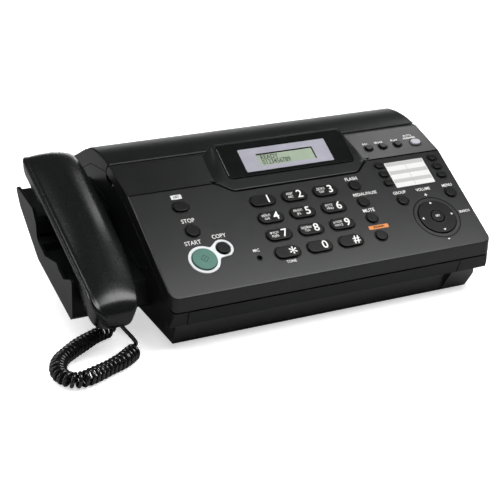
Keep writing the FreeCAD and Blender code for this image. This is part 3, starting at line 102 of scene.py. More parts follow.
# ---------------------------------------------------------------- materials
class Shader:
    """Small helper that adds and links nodes of one material."""

    def __init__(self, name):
        self.material = bpy.data.materials.new(name)
        self.material.use_nodes = True
        self.nodes = self.material.node_tree.nodes
        self.links = self.material.node_tree.links
        self.surface = self.nodes["Principled BSDF"]
        self.position = self.nodes.new("ShaderNodeTexCoord").outputs["Object"]

    def link(self, source, target):
        self.links.new(source, target)

    def feed(self, socket, source):
        """Drive one input of the surface."""
        self.link(source, self.surface.inputs[socket])

    def set(self, **values):
        for name, number in values.items():
            self.surface.inputs[name.replace("_", " ")].default_value = number

    def noise(self, scale, detail=2.0, roughness=0.5, stretch=None):
        node = self.nodes.new("ShaderNodeTexNoise")
        node.inputs["Scale"].default_value = scale
        node.inputs["Detail"].default_value = detail
        node.inputs["Roughness"].default_value = roughness
        source = self.position
        if stretch:
            mapping = self.nodes.new("ShaderNodeMapping")
            mapping.inputs["Scale"].default_value = stretch
            self.link(source, mapping.inputs["Vector"])
            source = mapping.outputs["Vector"]
        self.link(source, node.inputs["Vector"])
        return node.outputs["Fac"]

    def span(self, source, low, high, start=0.3, end=0.7):
        """Map a noise's middle range to low..high."""
        node = self.nodes.new("ShaderNodeMapRange")
        node.inputs["From Min"].default_value = start
        node.inputs["From Max"].default_value = end
        node.inputs["To Min"].default_value = low
        node.inputs["To Max"].default_value = high
        self.link(source, node.inputs["Value"])
        return node.outputs["Result"]

    def math(self, operation, first, second):
        node = self.nodes.new("ShaderNodeMath")
        node.operation = operation
        for socket, item in zip(node.inputs, (first, second)):
            if isinstance(item, (int, float)):
                socket.default_value = item
            else:
                self.link(item, socket)
        return node.outputs["Value"]

    def blend(self, factor, first, second):
        """Mix two colours, given as tuples or sockets."""
        node = self.nodes.new("ShaderNodeMix")
        node.data_type = "RGBA"
        if isinstance(factor, (int, float)):
            node.inputs["Factor"].default_value = factor
        else:
            self.link(factor, node.inputs["Factor"])
        for socket, item in ((node.inputs["A"], first), (node.inputs["B"], second)):
            sockets = [s for s in node.inputs if s.name == socket.name and s.type == "RGBA"]
            if isinstance(item, tuple):
                sockets[0].default_value = (*item, 1)
            else:
                self.link(item, sockets[0])
        return [s for s in node.outputs if s.type == "RGBA"][0]

    def rounded_normal(self, radius):
        node = self.nodes.new("ShaderNodeBevel")
        node.samples = 4
        node.inputs["Radius"].default_value = radius
        return node.outputs["Normal"]

    def bump(self, height, distance, strength=1.0, normal=None):
        node = self.nodes.new("ShaderNodeBump")
        node.inputs["Strength"].default_value = strength
        node.inputs["Distance"].default_value = distance
        self.link(height, node.inputs["Height"])
        if normal is not None:
            self.link(normal, node.inputs["Normal"])
        return node.outputs["Normal"]

    def edge_mask(self, rounded):
        """1 where the rounded normal leaves the true one, which is along edges."""
        geometry = self.nodes.new("ShaderNodeNewGeometry")
        dot = self.nodes.new("ShaderNodeVectorMath")
        dot.operation = "DOT_PRODUCT"
        self.link(rounded, dot.inputs[0])
        self.link(geometry.outputs["Normal"], dot.inputs[1])
        return self.span(dot.outputs["Value"], 1.0, 0.0, 0.80, 0.995)


def tinted(colour, factor):
    return tuple(min(1.0, channel * factor) for channel in colour)


def moulded(name, colour, roughness, grain=0.16, depth=0.012, edge=0.35, edge_wear_and_highlight_amount=0.5, sheen=0.5):
    """Injection-moulded plastic: spark-eroded grain, faint handling marks, and lighter edges, partly rubbed
    wear and partly a painted highlight.

    The grain's size, its depth and the edge's radius are in millimetres.
    """
    shader = Shader(name)
    mottle = 0.12
    rounded = shader.rounded_normal(edge * MM)
    grain_height = shader.noise(0.5 / (grain * MM), 3.0, 0.65)
    cloud = shader.noise(38, 4.0, 0.6)
    smudge = shader.noise(120, 5.0, 0.7, (1.0, 0.45, 1.0))
    body = shader.blend(shader.span(cloud, 0.0, 1.0), tinted(colour, 1 - mottle),
                        tinted(colour, 1 + mottle))
    speck = shader.math("MULTIPLY", shader.span(grain_height, 0.0, 1.0, 0.45, 0.75), 0.30)
    speckled = shader.blend(speck, body, tinted(colour, 1.7))
    # Painted highlight mixed with rubbed wear: along rounded edges the colour lightens up to three times,
    # standing in for the light such edges catch.
    edge_wear_and_highlight = shader.math("MULTIPLY", shader.edge_mask(rounded), shader.span(smudge, 0.2 * edge_wear_and_highlight_amount, edge_wear_and_highlight_amount))
    shader.feed("Base Color", shader.blend(edge_wear_and_highlight, speckled, tinted(colour, 3.0)))
    rough = shader.span(smudge, roughness - 0.018, roughness + 0.018)
    shader.feed("Roughness", shader.math("SUBTRACT", rough, shader.math("MULTIPLY", edge_wear_and_highlight, 0.10)))
    shader.feed("Normal", shader.bump(grain_height, depth * MM, 1.0, rounded))
    shader.set(Specular_IOR_Level=sheen)
    return shader.material


def ink(name, colour, roughness=0.45):
    """Screen-printed ink: slightly uneven cover."""
    shader = Shader(name)
    cover = shader.noise(2600, 2.0, 0.6)
    shader.feed("Base Color", shader.blend(shader.span(cover, 0.0, 1.0), tinted(colour, 0.9), colour))
    shader.feed("Roughness", shader.span(cover, roughness - 0.05, roughness + 0.08))
    shader.feed("Normal", shader.bump(cover, 0.006 * MM))
    return shader.material


def glossy(name, colour, roughness=0.08, coat=0.6, sheen=0.5):
    """Polished plastic or film with faint hairline scratches."""
    shader = Shader(name)
    hairline = shader.noise(900, 3.0, 0.7, (1.0, 0.06, 0.06))
    smudge = shader.noise(70, 4.0, 0.6)
    shader.feed("Base Color", shader.blend(shader.span(smudge, 0.0, 1.0), colour, tinted(colour, 1.25)))
    rough = shader.math("ADD", shader.span(smudge, roughness * 0.7, roughness * 1.5),
                        shader.span(hairline, 0.0, 0.05, 0.55, 0.75))
    shader.feed("Roughness", rough)
    shader.feed("Normal", shader.bump(hairline, 0.004 * MM, 0.6, shader.rounded_normal(0.25 * MM)))
    shader.set(Coat_Weight=coat, Coat_Roughness=0.05, Specular_IOR_Level=sheen)
    return shader.material


def metal(name, colour, roughness):
    """Brushed or plated metal with directional scratches and dull patches."""
    shader = Shader(name)
    strokes = shader.noise(60, 4.0, 0.7, (1.0, 60.0, 60.0))
    patch = shader.noise(90, 3.0, 0.6)
    shader.feed("Base Color", shader.blend(shader.span(patch, 0.0, 1.0), tinted(colour, 0.82), colour))
    shader.feed("Roughness", shader.span(strokes, roughness - 0.08, roughness + 0.12))
    shader.feed("Normal", shader.bump(strokes, 0.01 * MM, 0.7, shader.rounded_normal(0.3 * MM)))
    shader.set(Metallic=1.0)
    return shader.material


def paper_material(name):
    """Thermal paper: soft fibre mottling and the roll's fine edge layers."""
    shader = Shader(name)
    fibre = shader.noise(1400, 4.0, 0.7)
    layers = shader.noise(1600, 1.0, 0.5, (0.02, 1.0, 1.0))
    tone = shader.blend(shader.span(fibre, 0.0, 1.0), (0.84, 0.84, 0.80), (0.93, 0.93, 0.90))
    shader.feed("Base Color",
                shader.blend(shader.span(layers, 0.0, 0.35, 0.5, 0.8), tone, (0.66, 0.65, 0.60)))
    shader.feed("Normal", shader.bump(fibre, 0.02 * MM))
    shader.set(Roughness=0.62)
    return shader.material


def board_material(name):
    """Solder-masked circuit board with faint copper tracks under the mask."""
    shader = Shader(name)
    tracks = shader.nodes.new("ShaderNodeTexBrick")
    tracks.inputs["Scale"].default_value = 260
    tracks.inputs["Mortar Size"].default_value = 0.035
    shader.link(shader.position, tracks.inputs["Vector"])
    weave = shader.noise(2400, 2.0, 0.6)
    tone = shader.blend(shader.span(weave, 0.0, 1.0), (0.02, 0.16, 0.06), (0.03, 0.22, 0.09))
    shader.feed("Base Color", shader.blend(tracks.outputs["Fac"], tone, (0.06, 0.34, 0.15)))
    shader.feed("Normal", shader.bump(weave, 0.02 * MM))
    shader.set(Roughness=0.35)
    return shader.material


def display_material(name):
    """Reflective liquid-crystal glass: grey-green with faint pixel columns."""
    shader = Shader(name)
    cells = shader.nodes.new("ShaderNodeTexVoronoi")
    cells.inputs["Scale"].default_value = 1500
    shader.link(shader.position, cells.inputs["Vector"])
    cloud = shader.noise(45, 3.0, 0.5)
    tone = shader.blend(shader.span(cloud, 0.0, 1.0), (0.27, 0.33, 0.25), (0.33, 0.39, 0.30))
    shader.feed("Base Color", shader.blend(shader.span(cells.outputs["Distance"], 0.0, 0.25, 0.2, 0.7),
                                           tone, (0.24, 0.29, 0.22)))
    shader.feed("Normal", shader.bump(cells.outputs["Distance"], 0.01 * MM, 0.4))
    shader.set(Roughness=0.16, Coat_Weight=0.5, Coat_Roughness=0.03)
    return shader.material


def studio_floor(name):
    """Pale seamless paper sweep: bright to the camera, a softer grey in reflections."""
    shader = Shader(name)
    fibre = shader.noise(420, 4.0, 0.6)
    seen = shader.nodes.new("ShaderNodeLightPath").outputs["Is Camera Ray"]
    paper = shader.blend(shader.span(fibre, 0.0, 1.0), (0.90, 0.90, 0.90), (0.93, 0.93, 0.93))
    shader.feed("Base Color", shader.blend(seen, (0.34, 0.34, 0.34), paper))
    shader.feed("Emission Strength", shader.math("MULTIPLY", seen, 0.58))
    shader.feed("Normal", shader.bump(fibre, 0.02 * MM))
    shader.set(Roughness=0.85, Specular_IOR_Level=0.2)
    return shader.material


CASE = moulded("case_black", (0.0062, 0.0068, 0.0067), 0.34, sheen=0.30)
# Painted reflection: the base's colour is lighter than the case's, standing in for the pale floor reflected
# in the base's front.
BASE = moulded("base_black", (0.016, 0.0165, 0.0165), 0.36, grain=0.22, depth=0.02, sheen=0.75)
PANEL = moulded("panel_charcoal", (0.0072, 0.0075, 0.0075), 0.31, grain=0.12, depth=0.008)
KEY = moulded("key_black", (0.0058, 0.0060, 0.0060), 0.30, grain=0.10, depth=0.004, edge=0.25, sheen=0.22)
HANDSET_SKIN = moulded("handset_black", (0.0050, 0.0055, 0.0055), 0.27, grain=0.10, depth=0.003, edge=0.15,
                       edge_wear_and_highlight_amount=0.1)
GREEN = moulded("start_green", (0.045, 0.140, 0.106), 0.40, grain=0.12, depth=0.006, edge_wear_and_highlight_amount=0.15)
SILVER = moulded("key_silver", (0.30, 0.30, 0.33), 0.30, grain=0.12, depth=0.004, edge_wear_and_highlight_amount=0.2)
RUBBER = moulded("rubber_black", (0.022, 0.022, 0.022), 0.72, grain=0.3, depth=0.03, edge_wear_and_highlight_amount=0.2)
GEAR = moulded("acetal_white", (0.62, 0.61, 0.57), 0.38, edge_wear_and_highlight_amount=0.1)
CORD = moulded("cord_vinyl", (0.008, 0.008, 0.0085), 0.13, grain=0.3, depth=0.003, edge=0.2, edge_wear_and_highlight_amount=0.2,
               sheen=0.7)
BEZEL = glossy("display_bezel", (0.005, 0.0055, 0.0055), 0.12, 0.0, 0.22)
FRAME_SILVER = moulded("display_silver", (0.27, 0.265, 0.31), 0.40, grain=0.14, depth=0.006, edge_wear_and_highlight_amount=0.1)
LCD = display_material("lcd_glass")
LCD_INK = ink("lcd_segments", (0.010, 0.014, 0.012), 0.3)
WHITE = ink("legend_white", INK)
SURROUND = moulded("surround_white", (0.60, 0.62, 0.63), 0.42, grain=0.12, depth=0.004, edge_wear_and_highlight_amount=0.05)
ORANGE = ink("legend_orange", (0.62, 0.21, 0.045))
CARD = ink("card_white", (0.62, 0.62, 0.61))
CARD_GREY = ink("card_grey", (0.40, 0.40, 0.40))
# Near-black without sheen: dark print on the tabs and the start key, and painted shade in grooves, gaps,
# openings and along the display glass's edges.
DARK_PRINT_AND_SHADE = moulded("dark_print_and_painted_shade", (0.0012, 0.0012, 0.0012), 0.7, edge_wear_and_highlight_amount=0.0, sheen=0.02)
SOCKET = moulded("socket_grey", (0.05, 0.05, 0.053), 0.42, edge_wear_and_highlight_amount=0.1)
GOLD = metal("contact_gold", (0.83, 0.62, 0.25), 0.25)
STEEL = metal("plated_steel", (0.62, 0.61, 0.59), 0.34)
ALUMINIUM = metal("head_aluminium", (0.72, 0.72, 0.73), 0.30)
PAPER = paper_material("thermal_paper")
BOARD = board_material("circuit_board")


def paint(nodes, material):
    """Give CAD nodes a material of their own."""
    for name in nodes:
        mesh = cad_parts[name].data
        mesh.materials.clear()
        mesh.materials.append(material)


# ---------------------------------------------------------------- mesh building
def place_object(name, data):
    """A new object in the scene that shows this data."""
    thing = bpy.data.objects.new(name, data)
    bpy.context.scene.collection.objects.link(thing)
    return thing


def adopt(piece, body):
    """Give a piece its body; a piece passed without one, such as the cord, is left unattached."""
    if body:
        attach(piece, body)
    return piece


def mesh_piece(name, points, faces, material, body, smooth=True):
    """A piece made from points and faces, riding on a body."""
    mesh = bpy.data.meshes.new(name)
    mesh.from_pydata([tuple(point) for point in points], [], faces)
    mesh.validate()
    mesh.update()
    mesh.materials.append(material)
    for polygon in mesh.polygons:
        polygon.use_smooth = smooth
    return adopt(place_object(name, mesh), body)


def ring_loft(name, rings, material, body):
    """A closed skin over rings of equally many points, its two end rings filled."""
    count = len(rings[0])
    points = [point for ring in rings for point in ring]
    faces = []
    for row in range(len(rings) - 1):
        for column in range(count):
            following = (column + 1) % count
            low, high = row * count, (row + 1) * count
            faces.append((low + column, low + following, high + following, high + column))
    faces.append(tuple(reversed(range(count))))
    faces.append(tuple(range((len(rings) - 1) * count, len(rings) * count)))
    return mesh_piece(name, points, faces, material, body)


def circle_points(radius, across=0.0, up=0.0, count=48):
    """A circle's outline."""
    return [(across + radius * math.cos(turn), up + radius * math.sin(turn))
            for turn in (2 * math.pi * step / count for step in range(count))]


def oval_points(half_width, half_depth):
    """A slot outline with round ends."""
    count = 48
    reach = half_width - half_depth
    points = []
    for step in range(count):
        turn = 2 * math.pi * step / count
        side = reach if math.cos(turn) >= 0 else -reach
        points.append((side + half_depth * math.cos(turn), half_depth * math.sin(turn)))
    return points


def box_points(half_width, half_depth, across=0.0, up=0.0, radius=0.6 * MM, steps=5):
    """A rectangle's outline with rounded corners."""
    points = []
    for corner, (side, level) in enumerate(((1, 1), (-1, 1), (-1, -1), (1, -1))):
        for step in range(steps + 1):
            turn = math.pi / 2 * (corner + step / steps)
            points.append((across + side * (half_width - radius) + radius * math.cos(turn),
                           up + level * (half_depth - radius) + radius * math.sin(turn)))
    return points


def plate(name, place, loops, high, material, body=PANEL_BODY, low=0.0,
          lip=0.06 * MM):
    """A thin plate from low to high over the place's plane: its outline comes first, then its holes.

    Its top edges are eased inwards by lip, so that they catch light as a moulded or printed edge does.
    """
    flat, spans = [], []
    for loop in loops:
        spans.append((len(flat), len(loop)))
        flat += [Vector(point) for point in loop]
    rims = [[start + step for step in range(count)] for start, count in spans]
    edges = [(rim[step], rim[(step + 1) % len(rim)]) for rim in rims for step in range(len(rim))]
    eased = []
    for index, (start, count) in enumerate(spans):
        area = sum(flat[start + s].cross(flat[start + (s + 1) % count]) for s in range(count))
        way = math.copysign(1, area) * (1 if index == 0 else -1)
        for step in range(count):
            before, here, after = (flat[start + (step + shift) % count] for shift in (-1, 0, 1))
            run = after - before
            inward = Vector((-run.y, run.x)).normalized() * way
            eased.append(here + inward * lip)
    _, _, triangles, origin, _, _ = delaunay_2d_cdt(eased, edges, [], 1, 1e-9)
    back = [sources[0] if sources else None for sources in origin]
    layers = ((flat, low), (flat, high - lip), (eased, high))
    points = [place @ Vector((point.x, point.y, level)) for layer, level in layers for point in layer]
    total = len(flat)
    faces = []
    for triangle in triangles:
        corner = [back[vertex] for vertex in triangle]
        if None in corner:
            continue
        middle = sum((eased[c] for c in corner), Vector((0, 0))) / 3
        if inside(middle, [eased[i] for i in rims[0]]) and not any(
                inside(middle, [eased[i] for i in rim]) for rim in rims[1:]):
            faces.append(tuple(2 * total + c for c in corner))
            faces.append(tuple(reversed(corner)))
    for first, second in edges:
        for layer in (0, 1):
            low_row, high_row = layer * total, (layer + 1) * total
            faces.append((low_row + first, low_row + second, high_row + second, high_row + first))
    piece = mesh_piece(name, points, faces, material, body, smooth=False)
    tidy_normals(piece)
    return piece


def inside(point, loop):
    """Whether a point lies inside a closed outline."""
    odd = False
    for index, here in enumerate(loop):
        before = loop[index - 1]
        if (here.y > point.y) != (before.y > point.y):
            cross = (before.x - here.x) * (point.y - here.y) / (before.y - here.y) + here.x
            odd ^= point.x < cross
    return odd


def tidy_normals(piece):
    """Merge points that coincide and turn every face outwards."""
    work = bmesh.new()
    work.from_mesh(piece.data)
    bmesh.ops.remove_doubles(work, verts=work.verts, dist=1e-7)
    bmesh.ops.recalc_face_normals(work, faces=work.faces)
    work.to_mesh(piece.data)
    work.free()


def lettering(name, words, place, size, material, body, bold=0.0, squeeze=1.0,
              align="CENTER"):
    """Raised print, made into a mesh: its middle sits at the place's origin."""
    curve = bpy.data.curves.new(name, "FONT")
    curve.body = words
    curve.size = size
    curve.align_x = align
    curve.align_y = "CENTER"
    curve.extrude = 0.03 * MM
    curve.offset = bold
    curve.resolution_u = 3
    source = place_object(name + "_curve", curve)
    bpy.context.view_layer.update()
    mesh = bpy.data.meshes.new_from_object(source.evaluated_get(bpy.context.evaluated_depsgraph_get()))
    bpy.data.objects.remove(source)
    mesh.materials.clear()
    mesh.materials.append(material)
    mesh.transform(place @ Matrix.Diagonal((squeeze, 1, 1, 1)))
    return adopt(place_object(name, mesh), body)


# ---------------------------------------------------------------- operation panel print and trim
DIAL = {"key_1": ("1", ()), "key_2": ("2", ("АБВГ", "ABC")), "key_3": ("3", ("ДЕЖЗ", "DEF")),
        "key_4": ("4", ("ИЙКЛ", "GHI")), "key_5": ("5", ("МНОП", "JKL")), "key_6": ("6", ("РСТУ", "MNO")),
        "key_7": ("7", ("ФХЦЧ", "PQRS")), "key_8": ("8", ("ШЩЪЫ", "TUV")), "key_9": ("9", ("ЬЭЮЯ", "WXYZ")),
        "key_star": ("*", ()), "key_0": ("0", ()), "key_hash": ("#", ())}


def dial_print():
    """White digits at the right of each dial key, with the letter group before them."""
    for key, (digit, letters) in DIAL.items():
        middle, half = cap_place(key, SLOPE)
        rise = middle.z + 0.02 * MM
        size = 16 * MM if digit == "*" else 10.6 * MM
        drop = -3.0 * MM if digit == "*" else 0.0
        shift = half.x * 0.42
        lettering(f"{key}_digit", digit, SLOPE.matrix(middle.x + shift, middle.y + drop, rise), size, WHITE,
                  key,
                  bold=0.10 * MM)
        for row, words in enumerate(letters):
            place = SLOPE.matrix(middle.x - half.x * 0.38, middle.y + (1.55 - 3.1 * row) * MM, rise)
            lettering(f"{key}_letters_{row}", words, place, 3.1 * MM, WHITE, key,
                      squeeze=0.85)


LABELS = (
    # words, surface, millimetres from the panel's left edge, millimetres up, letter height
    ("STOP", SLOPE, 38.9, 68.4, 4.4), ("START", SLOPE, 35.0, 47.2, 4.4), ("COPY", SLOPE, 58.0, 49.6, 4.2),
    ("MIC", SLOPE, 82.7, 30.4, 3.1), ("TONE", SLOPE, 107.4, 15.0, 3.0),
    ("FLASH", SLOPE, 193.6, 84.0, 3.9), ("REDIAL/PAUSE", SLOPE, 199.0, 67.0, 3.3),
    ("MUTE", SLOPE, 194.5, 50.0, 4.0),
    ("GROUP", SLOPE, 230.5, 62.4, 3.4), ("VOLUME", SLOPE, 253.8, 62.0, 3.3), ("+", SLOPE, 253.4, 55.6, 5.4),
    ("-", SLOPE, 252.1, 9.8, 6.4), ("MENU", SLOPE, 278.0, 62.2, 3.4), ("SEARCH", SLOPE, 280.4, 33.4, 2.7),
    ("REC", BAND, 227.6, 21.4, 2.9), ("ERASE", BAND, 240.7, 21.4, 2.9), ("PLAY", BAND, 256.7, 21.4, 2.9),
    ("AUTO", BAND, 272.3, 25.4, 2.9), ("ANSWER", BAND, 272.3, 21.8, 2.9),
)


def panel_print():
    """White legends beside the keys, all plain words for what a key does."""
    for index, (words, surface, across, up, size) in enumerate(LABELS):
        place = surface.matrix(LEFT + across * MM, up * MM, 0.04 * MM)
        lettering(f"legend_{index:02d}", words, place, 1.25 * size * MM, WHITE, PANEL_BODY, bold=0.02 * MM,
                  squeeze=0.86)
    key, _ = cap_place("speakerphone_key", SLOPE)
    tab = SLOPE.matrix(key.x + 2.0 * MM, key.y + 9.0 * MM)
    plate("speakerphone_tab", tab, [box_points(9.2 * MM, 1.9 * MM)], 0.06 * MM, ORANGE)
    lettering("speakerphone_words", "SPEAKER", tab @ Matrix.Translation((0, 0, 0.1 * MM)), 2.6 * MM, DARK_PRINT_AND_SHADE,
              PANEL_BODY,
              bold=0.05 * MM)
    caller, _ = cap_place("caller_id_key", SLOPE)
    box = SLOPE.matrix(caller.x, caller.y + 10.2 * MM)
    plate("caller_tab", box, [box_points(4.6 * MM, 2.2 * MM, radius=0.8 * MM)], 0.06 * MM, CARD)
    lettering("caller_words", "LIST", box @ Matrix.Translation((0, 0, 0.1 * MM)), 2.8 * MM, DARK_PRINT_AND_SHADE,
              PANEL_BODY, bold=0.05 * MM)
    set_key, _ = cap_place("set_key", SLOPE)
    lettering("set_words", "SET", SLOPE.matrix(set_key.x, set_key.y, set_key.z + 0.03 * MM), 2.8 * MM,
              WHITE, "set_key",
              bold=0.04 * MM)


def start_surround():
    """White raised surround that joins the start and copy keys."""
    start, start_half = cap_place("start_key", SLOPE)
    copy, copy_half = cap_place("copy_key", SLOPE)
    big, small = start_half.x + 3.0 * MM, copy_half.x + 3.3 * MM
    outline = []
    count = 96
    for step in range(count):
        turn = 2 * math.pi * step / count
        ray = Vector((math.cos(turn), math.sin(turn)))
        reach = 40 * MM
        while reach > 0:
            point = ray * reach
            gaps = ((point.length - big), (point - (copy - start).to_2d()).length - small)
            # Smooth union of the two discs: their gap blends over a few millimetres.
            blend = max(4.5 * MM - abs(gaps[0] - gaps[1]), 0) / (4.5 * MM)
            if min(gaps) - blend * blend * 4.5 * MM / 4 <= 0:
                break
            reach -= 0.1 * MM
        outline.append((start.x + point.x, start.y + point.y))
    holes = [circle_points(start_half.x + 0.35 * MM, start.x, start.y),
             circle_points(copy_half.x + 0.9 * MM, copy.x, copy.y)]
    plate("start_surround", SLOPE.matrix(), [outline] + holes, 0.5 * MM, SURROUND, lip=0.3 * MM)
    mark = SLOPE.matrix(start.x, start.y, start.z + 0.02 * MM, math.radians(45))
    size, line = 2.4 * MM, 0.28 * MM
    plate("start_mark", mark,
          [box_points(size, size, radius=0.3 * MM), box_points(size - line, size - line, radius=0.2 * MM)],
          0.05 * MM, DARK_PRINT_AND_SHADE, body="start_key", lip=0.02 * MM)
    plate("start_mark_bar", mark, [box_points(size * 0.5, line / 2, radius=0.1 * MM)], 0.05 * MM, DARK_PRINT_AND_SHADE,
          body="start_key", lip=0.02 * MM)


def directory_card():
    """Paper card for the one-touch names: white and grey rows under a clear strip."""
    left_key, left_half = cap_place("one_touch_key_2", SLOPE)
    right_key, right_half = cap_place("one_touch_key_5", SLOPE)
    low = left_key.x + left_half.x + 1.2 * MM
    high = right_key.x - right_half.x - 5.6 * MM
    middle = (low + high) / 2
    half = (high - low) / 2
    base, top = 67.6 * MM, 94.7 * MM
    plate("card", SLOPE.matrix(middle, (base + top) / 2),
          [box_points(half, (top - base) / 2, radius=0.8 * MM)], 0.15 * MM, CARD)
    row = (top - base) / 6
    for index in range(6):
        level = base + row * (index + 0.5)
        shade = CARD_GREY if index % 2 else CARD
        plate(f"card_row_{index}", SLOPE.matrix(middle, level, 0.15 * MM),
              [box_points(half - 0.8 * MM, row / 2 - 0.35 * MM,
              radius=0.3 * MM)], 0.05 * MM, shade, lip=0.02 * MM)
    plate("card_line", SLOPE.matrix(middle, (base + top) / 2, 0.2 * MM),
          [box_points(0.25 * MM, (top - base) / 2 - 1 * MM,
          radius=0.1 * MM)], 0.03 * MM, CARD_GREY, lip=0.01 * MM)


def key_recesses():
    """Thin collars in the darker, less glossy key plastic around the keys and the ring: painted shade where
    the panel turns down into their openings.
    """
    for name in list(DIAL) + SLOPE_KEYS:
        middle, half = cap_place(name, SLOPE)
        collar(name, SLOPE, middle, half)
    for name in BAND_KEYS:
        middle, half = cap_place(name, BAND)
        collar(name, BAND, middle, half)
    set_key, _ = cap_place("set_key", SLOPE)
    radius = (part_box("navigator_ring")[1][0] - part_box("navigator_ring")[0][0]) / 2
    plate("ring_collar", SLOPE.matrix(set_key.x, set_key.y), [circle_points(radius + 1.9 * MM, count=96),
          circle_points(radius + 0.55 * MM, count=96)], 0.35 * MM, KEY, lip=0.25 * MM)
    arrow = [(-1.3 * MM, -0.7 * MM), (1.3 * MM, -0.7 * MM), (0, 1.0 * MM)]
    ring_rise = 1.2 * MM
    rise = ring_rise + 0.02 * MM
    for index in range(4):
        turn = math.pi / 2 * index
        place = SLOPE.matrix(set_key.x, set_key.y, rise, turn) @ Matrix.Translation((0, radius * 0.72, 0))
        plate(f"ring_arrow_{index}", place, [arrow], 0.04 * MM, WHITE, body="navigator", lip=0.01 * MM)


def collar(name, surface, middle, half):
    """Raised rim around one key's opening, in the darker key plastic as painted shade."""
    inner = oval_points(half.x + 0.3 * MM + 0.25 * MM, half.y + 0.3 * MM + 0.25 * MM)
    outer = oval_points(half.x + 1.25 * MM, half.y + 1.25 * MM)
    plate(f"{name}_collar", surface.matrix(middle.x, middle.y), [outer, inner], 0.3 * MM, KEY,
          lip=0.22 * MM)


SLOPE_KEYS = ["flash_key", "redial_pause_key", "mute_key", "speakerphone_key", "broadcast_key", "menu_key",
              "caller_id_key", "stop_key"] + [f"one_touch_key_{index}" for index in range(1, 7)]
BAND_KEYS = ["record_key", "erase_key", "playback_key", "auto_answer_key"]


def microphone():
    """Recessed microphone hole with a raised rim."""
    across, up = LEFT + 82.7 * MM, 23.1 * MM
    plate("mic_rim", SLOPE.matrix(across, up), [circle_points(2.7 * MM), circle_points(1.75 * MM)],
          0.35 * MM, KEY, lip=0.25 * MM)
    # Painted shade: a dark disc at the bottom of the hole stands in for the shade inside it.
    plate("mic_hole_shade", SLOPE.matrix(across, up, -1.2 * MM), [circle_points(1.7 * MM)], 0.0, DARK_PRINT_AND_SHADE,
          low=-0.4 * MM)


def smooth(share):
    """Ease from 0 to 1 with level ends."""
    share = min(1.0, max(0.0, share))
    return share * share * (3 - 2 * share)


def smooth_inverse(share):
    """The share that smooth() turns into this value."""
    share = min(1.0, max(0.0, share))
    return 0.5 - math.sin(math.asin(1 - 2 * share) / 3)


HOUSING_LOW, HOUSING_TURN, HOUSING_RIDGE = 90.4, 101.1, 139.6
FLANK_TOP = (88.0, 206.0)


def housing_sides(up):
    """Left and right edges of the display housing at a height up the slope, in millimetres."""
    if up < HOUSING_TURN:
        share = smooth_inverse((HOUSING_TURN - up) / (HOUSING_TURN - HOUSING_LOW))
        return 72.4 + 17.6 * share, 217.5 - 17.0 * share
    return 72.4 + (up - HOUSING_TURN) * 0.2, 218.0 - (up - HOUSING_TURN) * 0.07


def housing_height(across, up):
    """Height of the housing over the slope's plane: flat on top, with flanks that sweep down to the band."""
    fall = max(0.0, up - KEYPAD_LENGTH / MM) * math.tan(PANEL_BEND)
    left, right = housing_sides(up)
    if up < HOUSING_TURN:
        edge = min(across - left, right - across, up - HOUSING_LOW)
        return 0.32 - 0.5 * (1 - min(1.0, max(0.0, edge) / 1.1)) ** 2
    left_share = smooth((across - left) / (FLANK_TOP[0] - left))
    share = left_share * smooth((right - across) / (right - FLANK_TOP[1]))
    return -(fall + 0.12) * (1 - share) + 0.32 * share


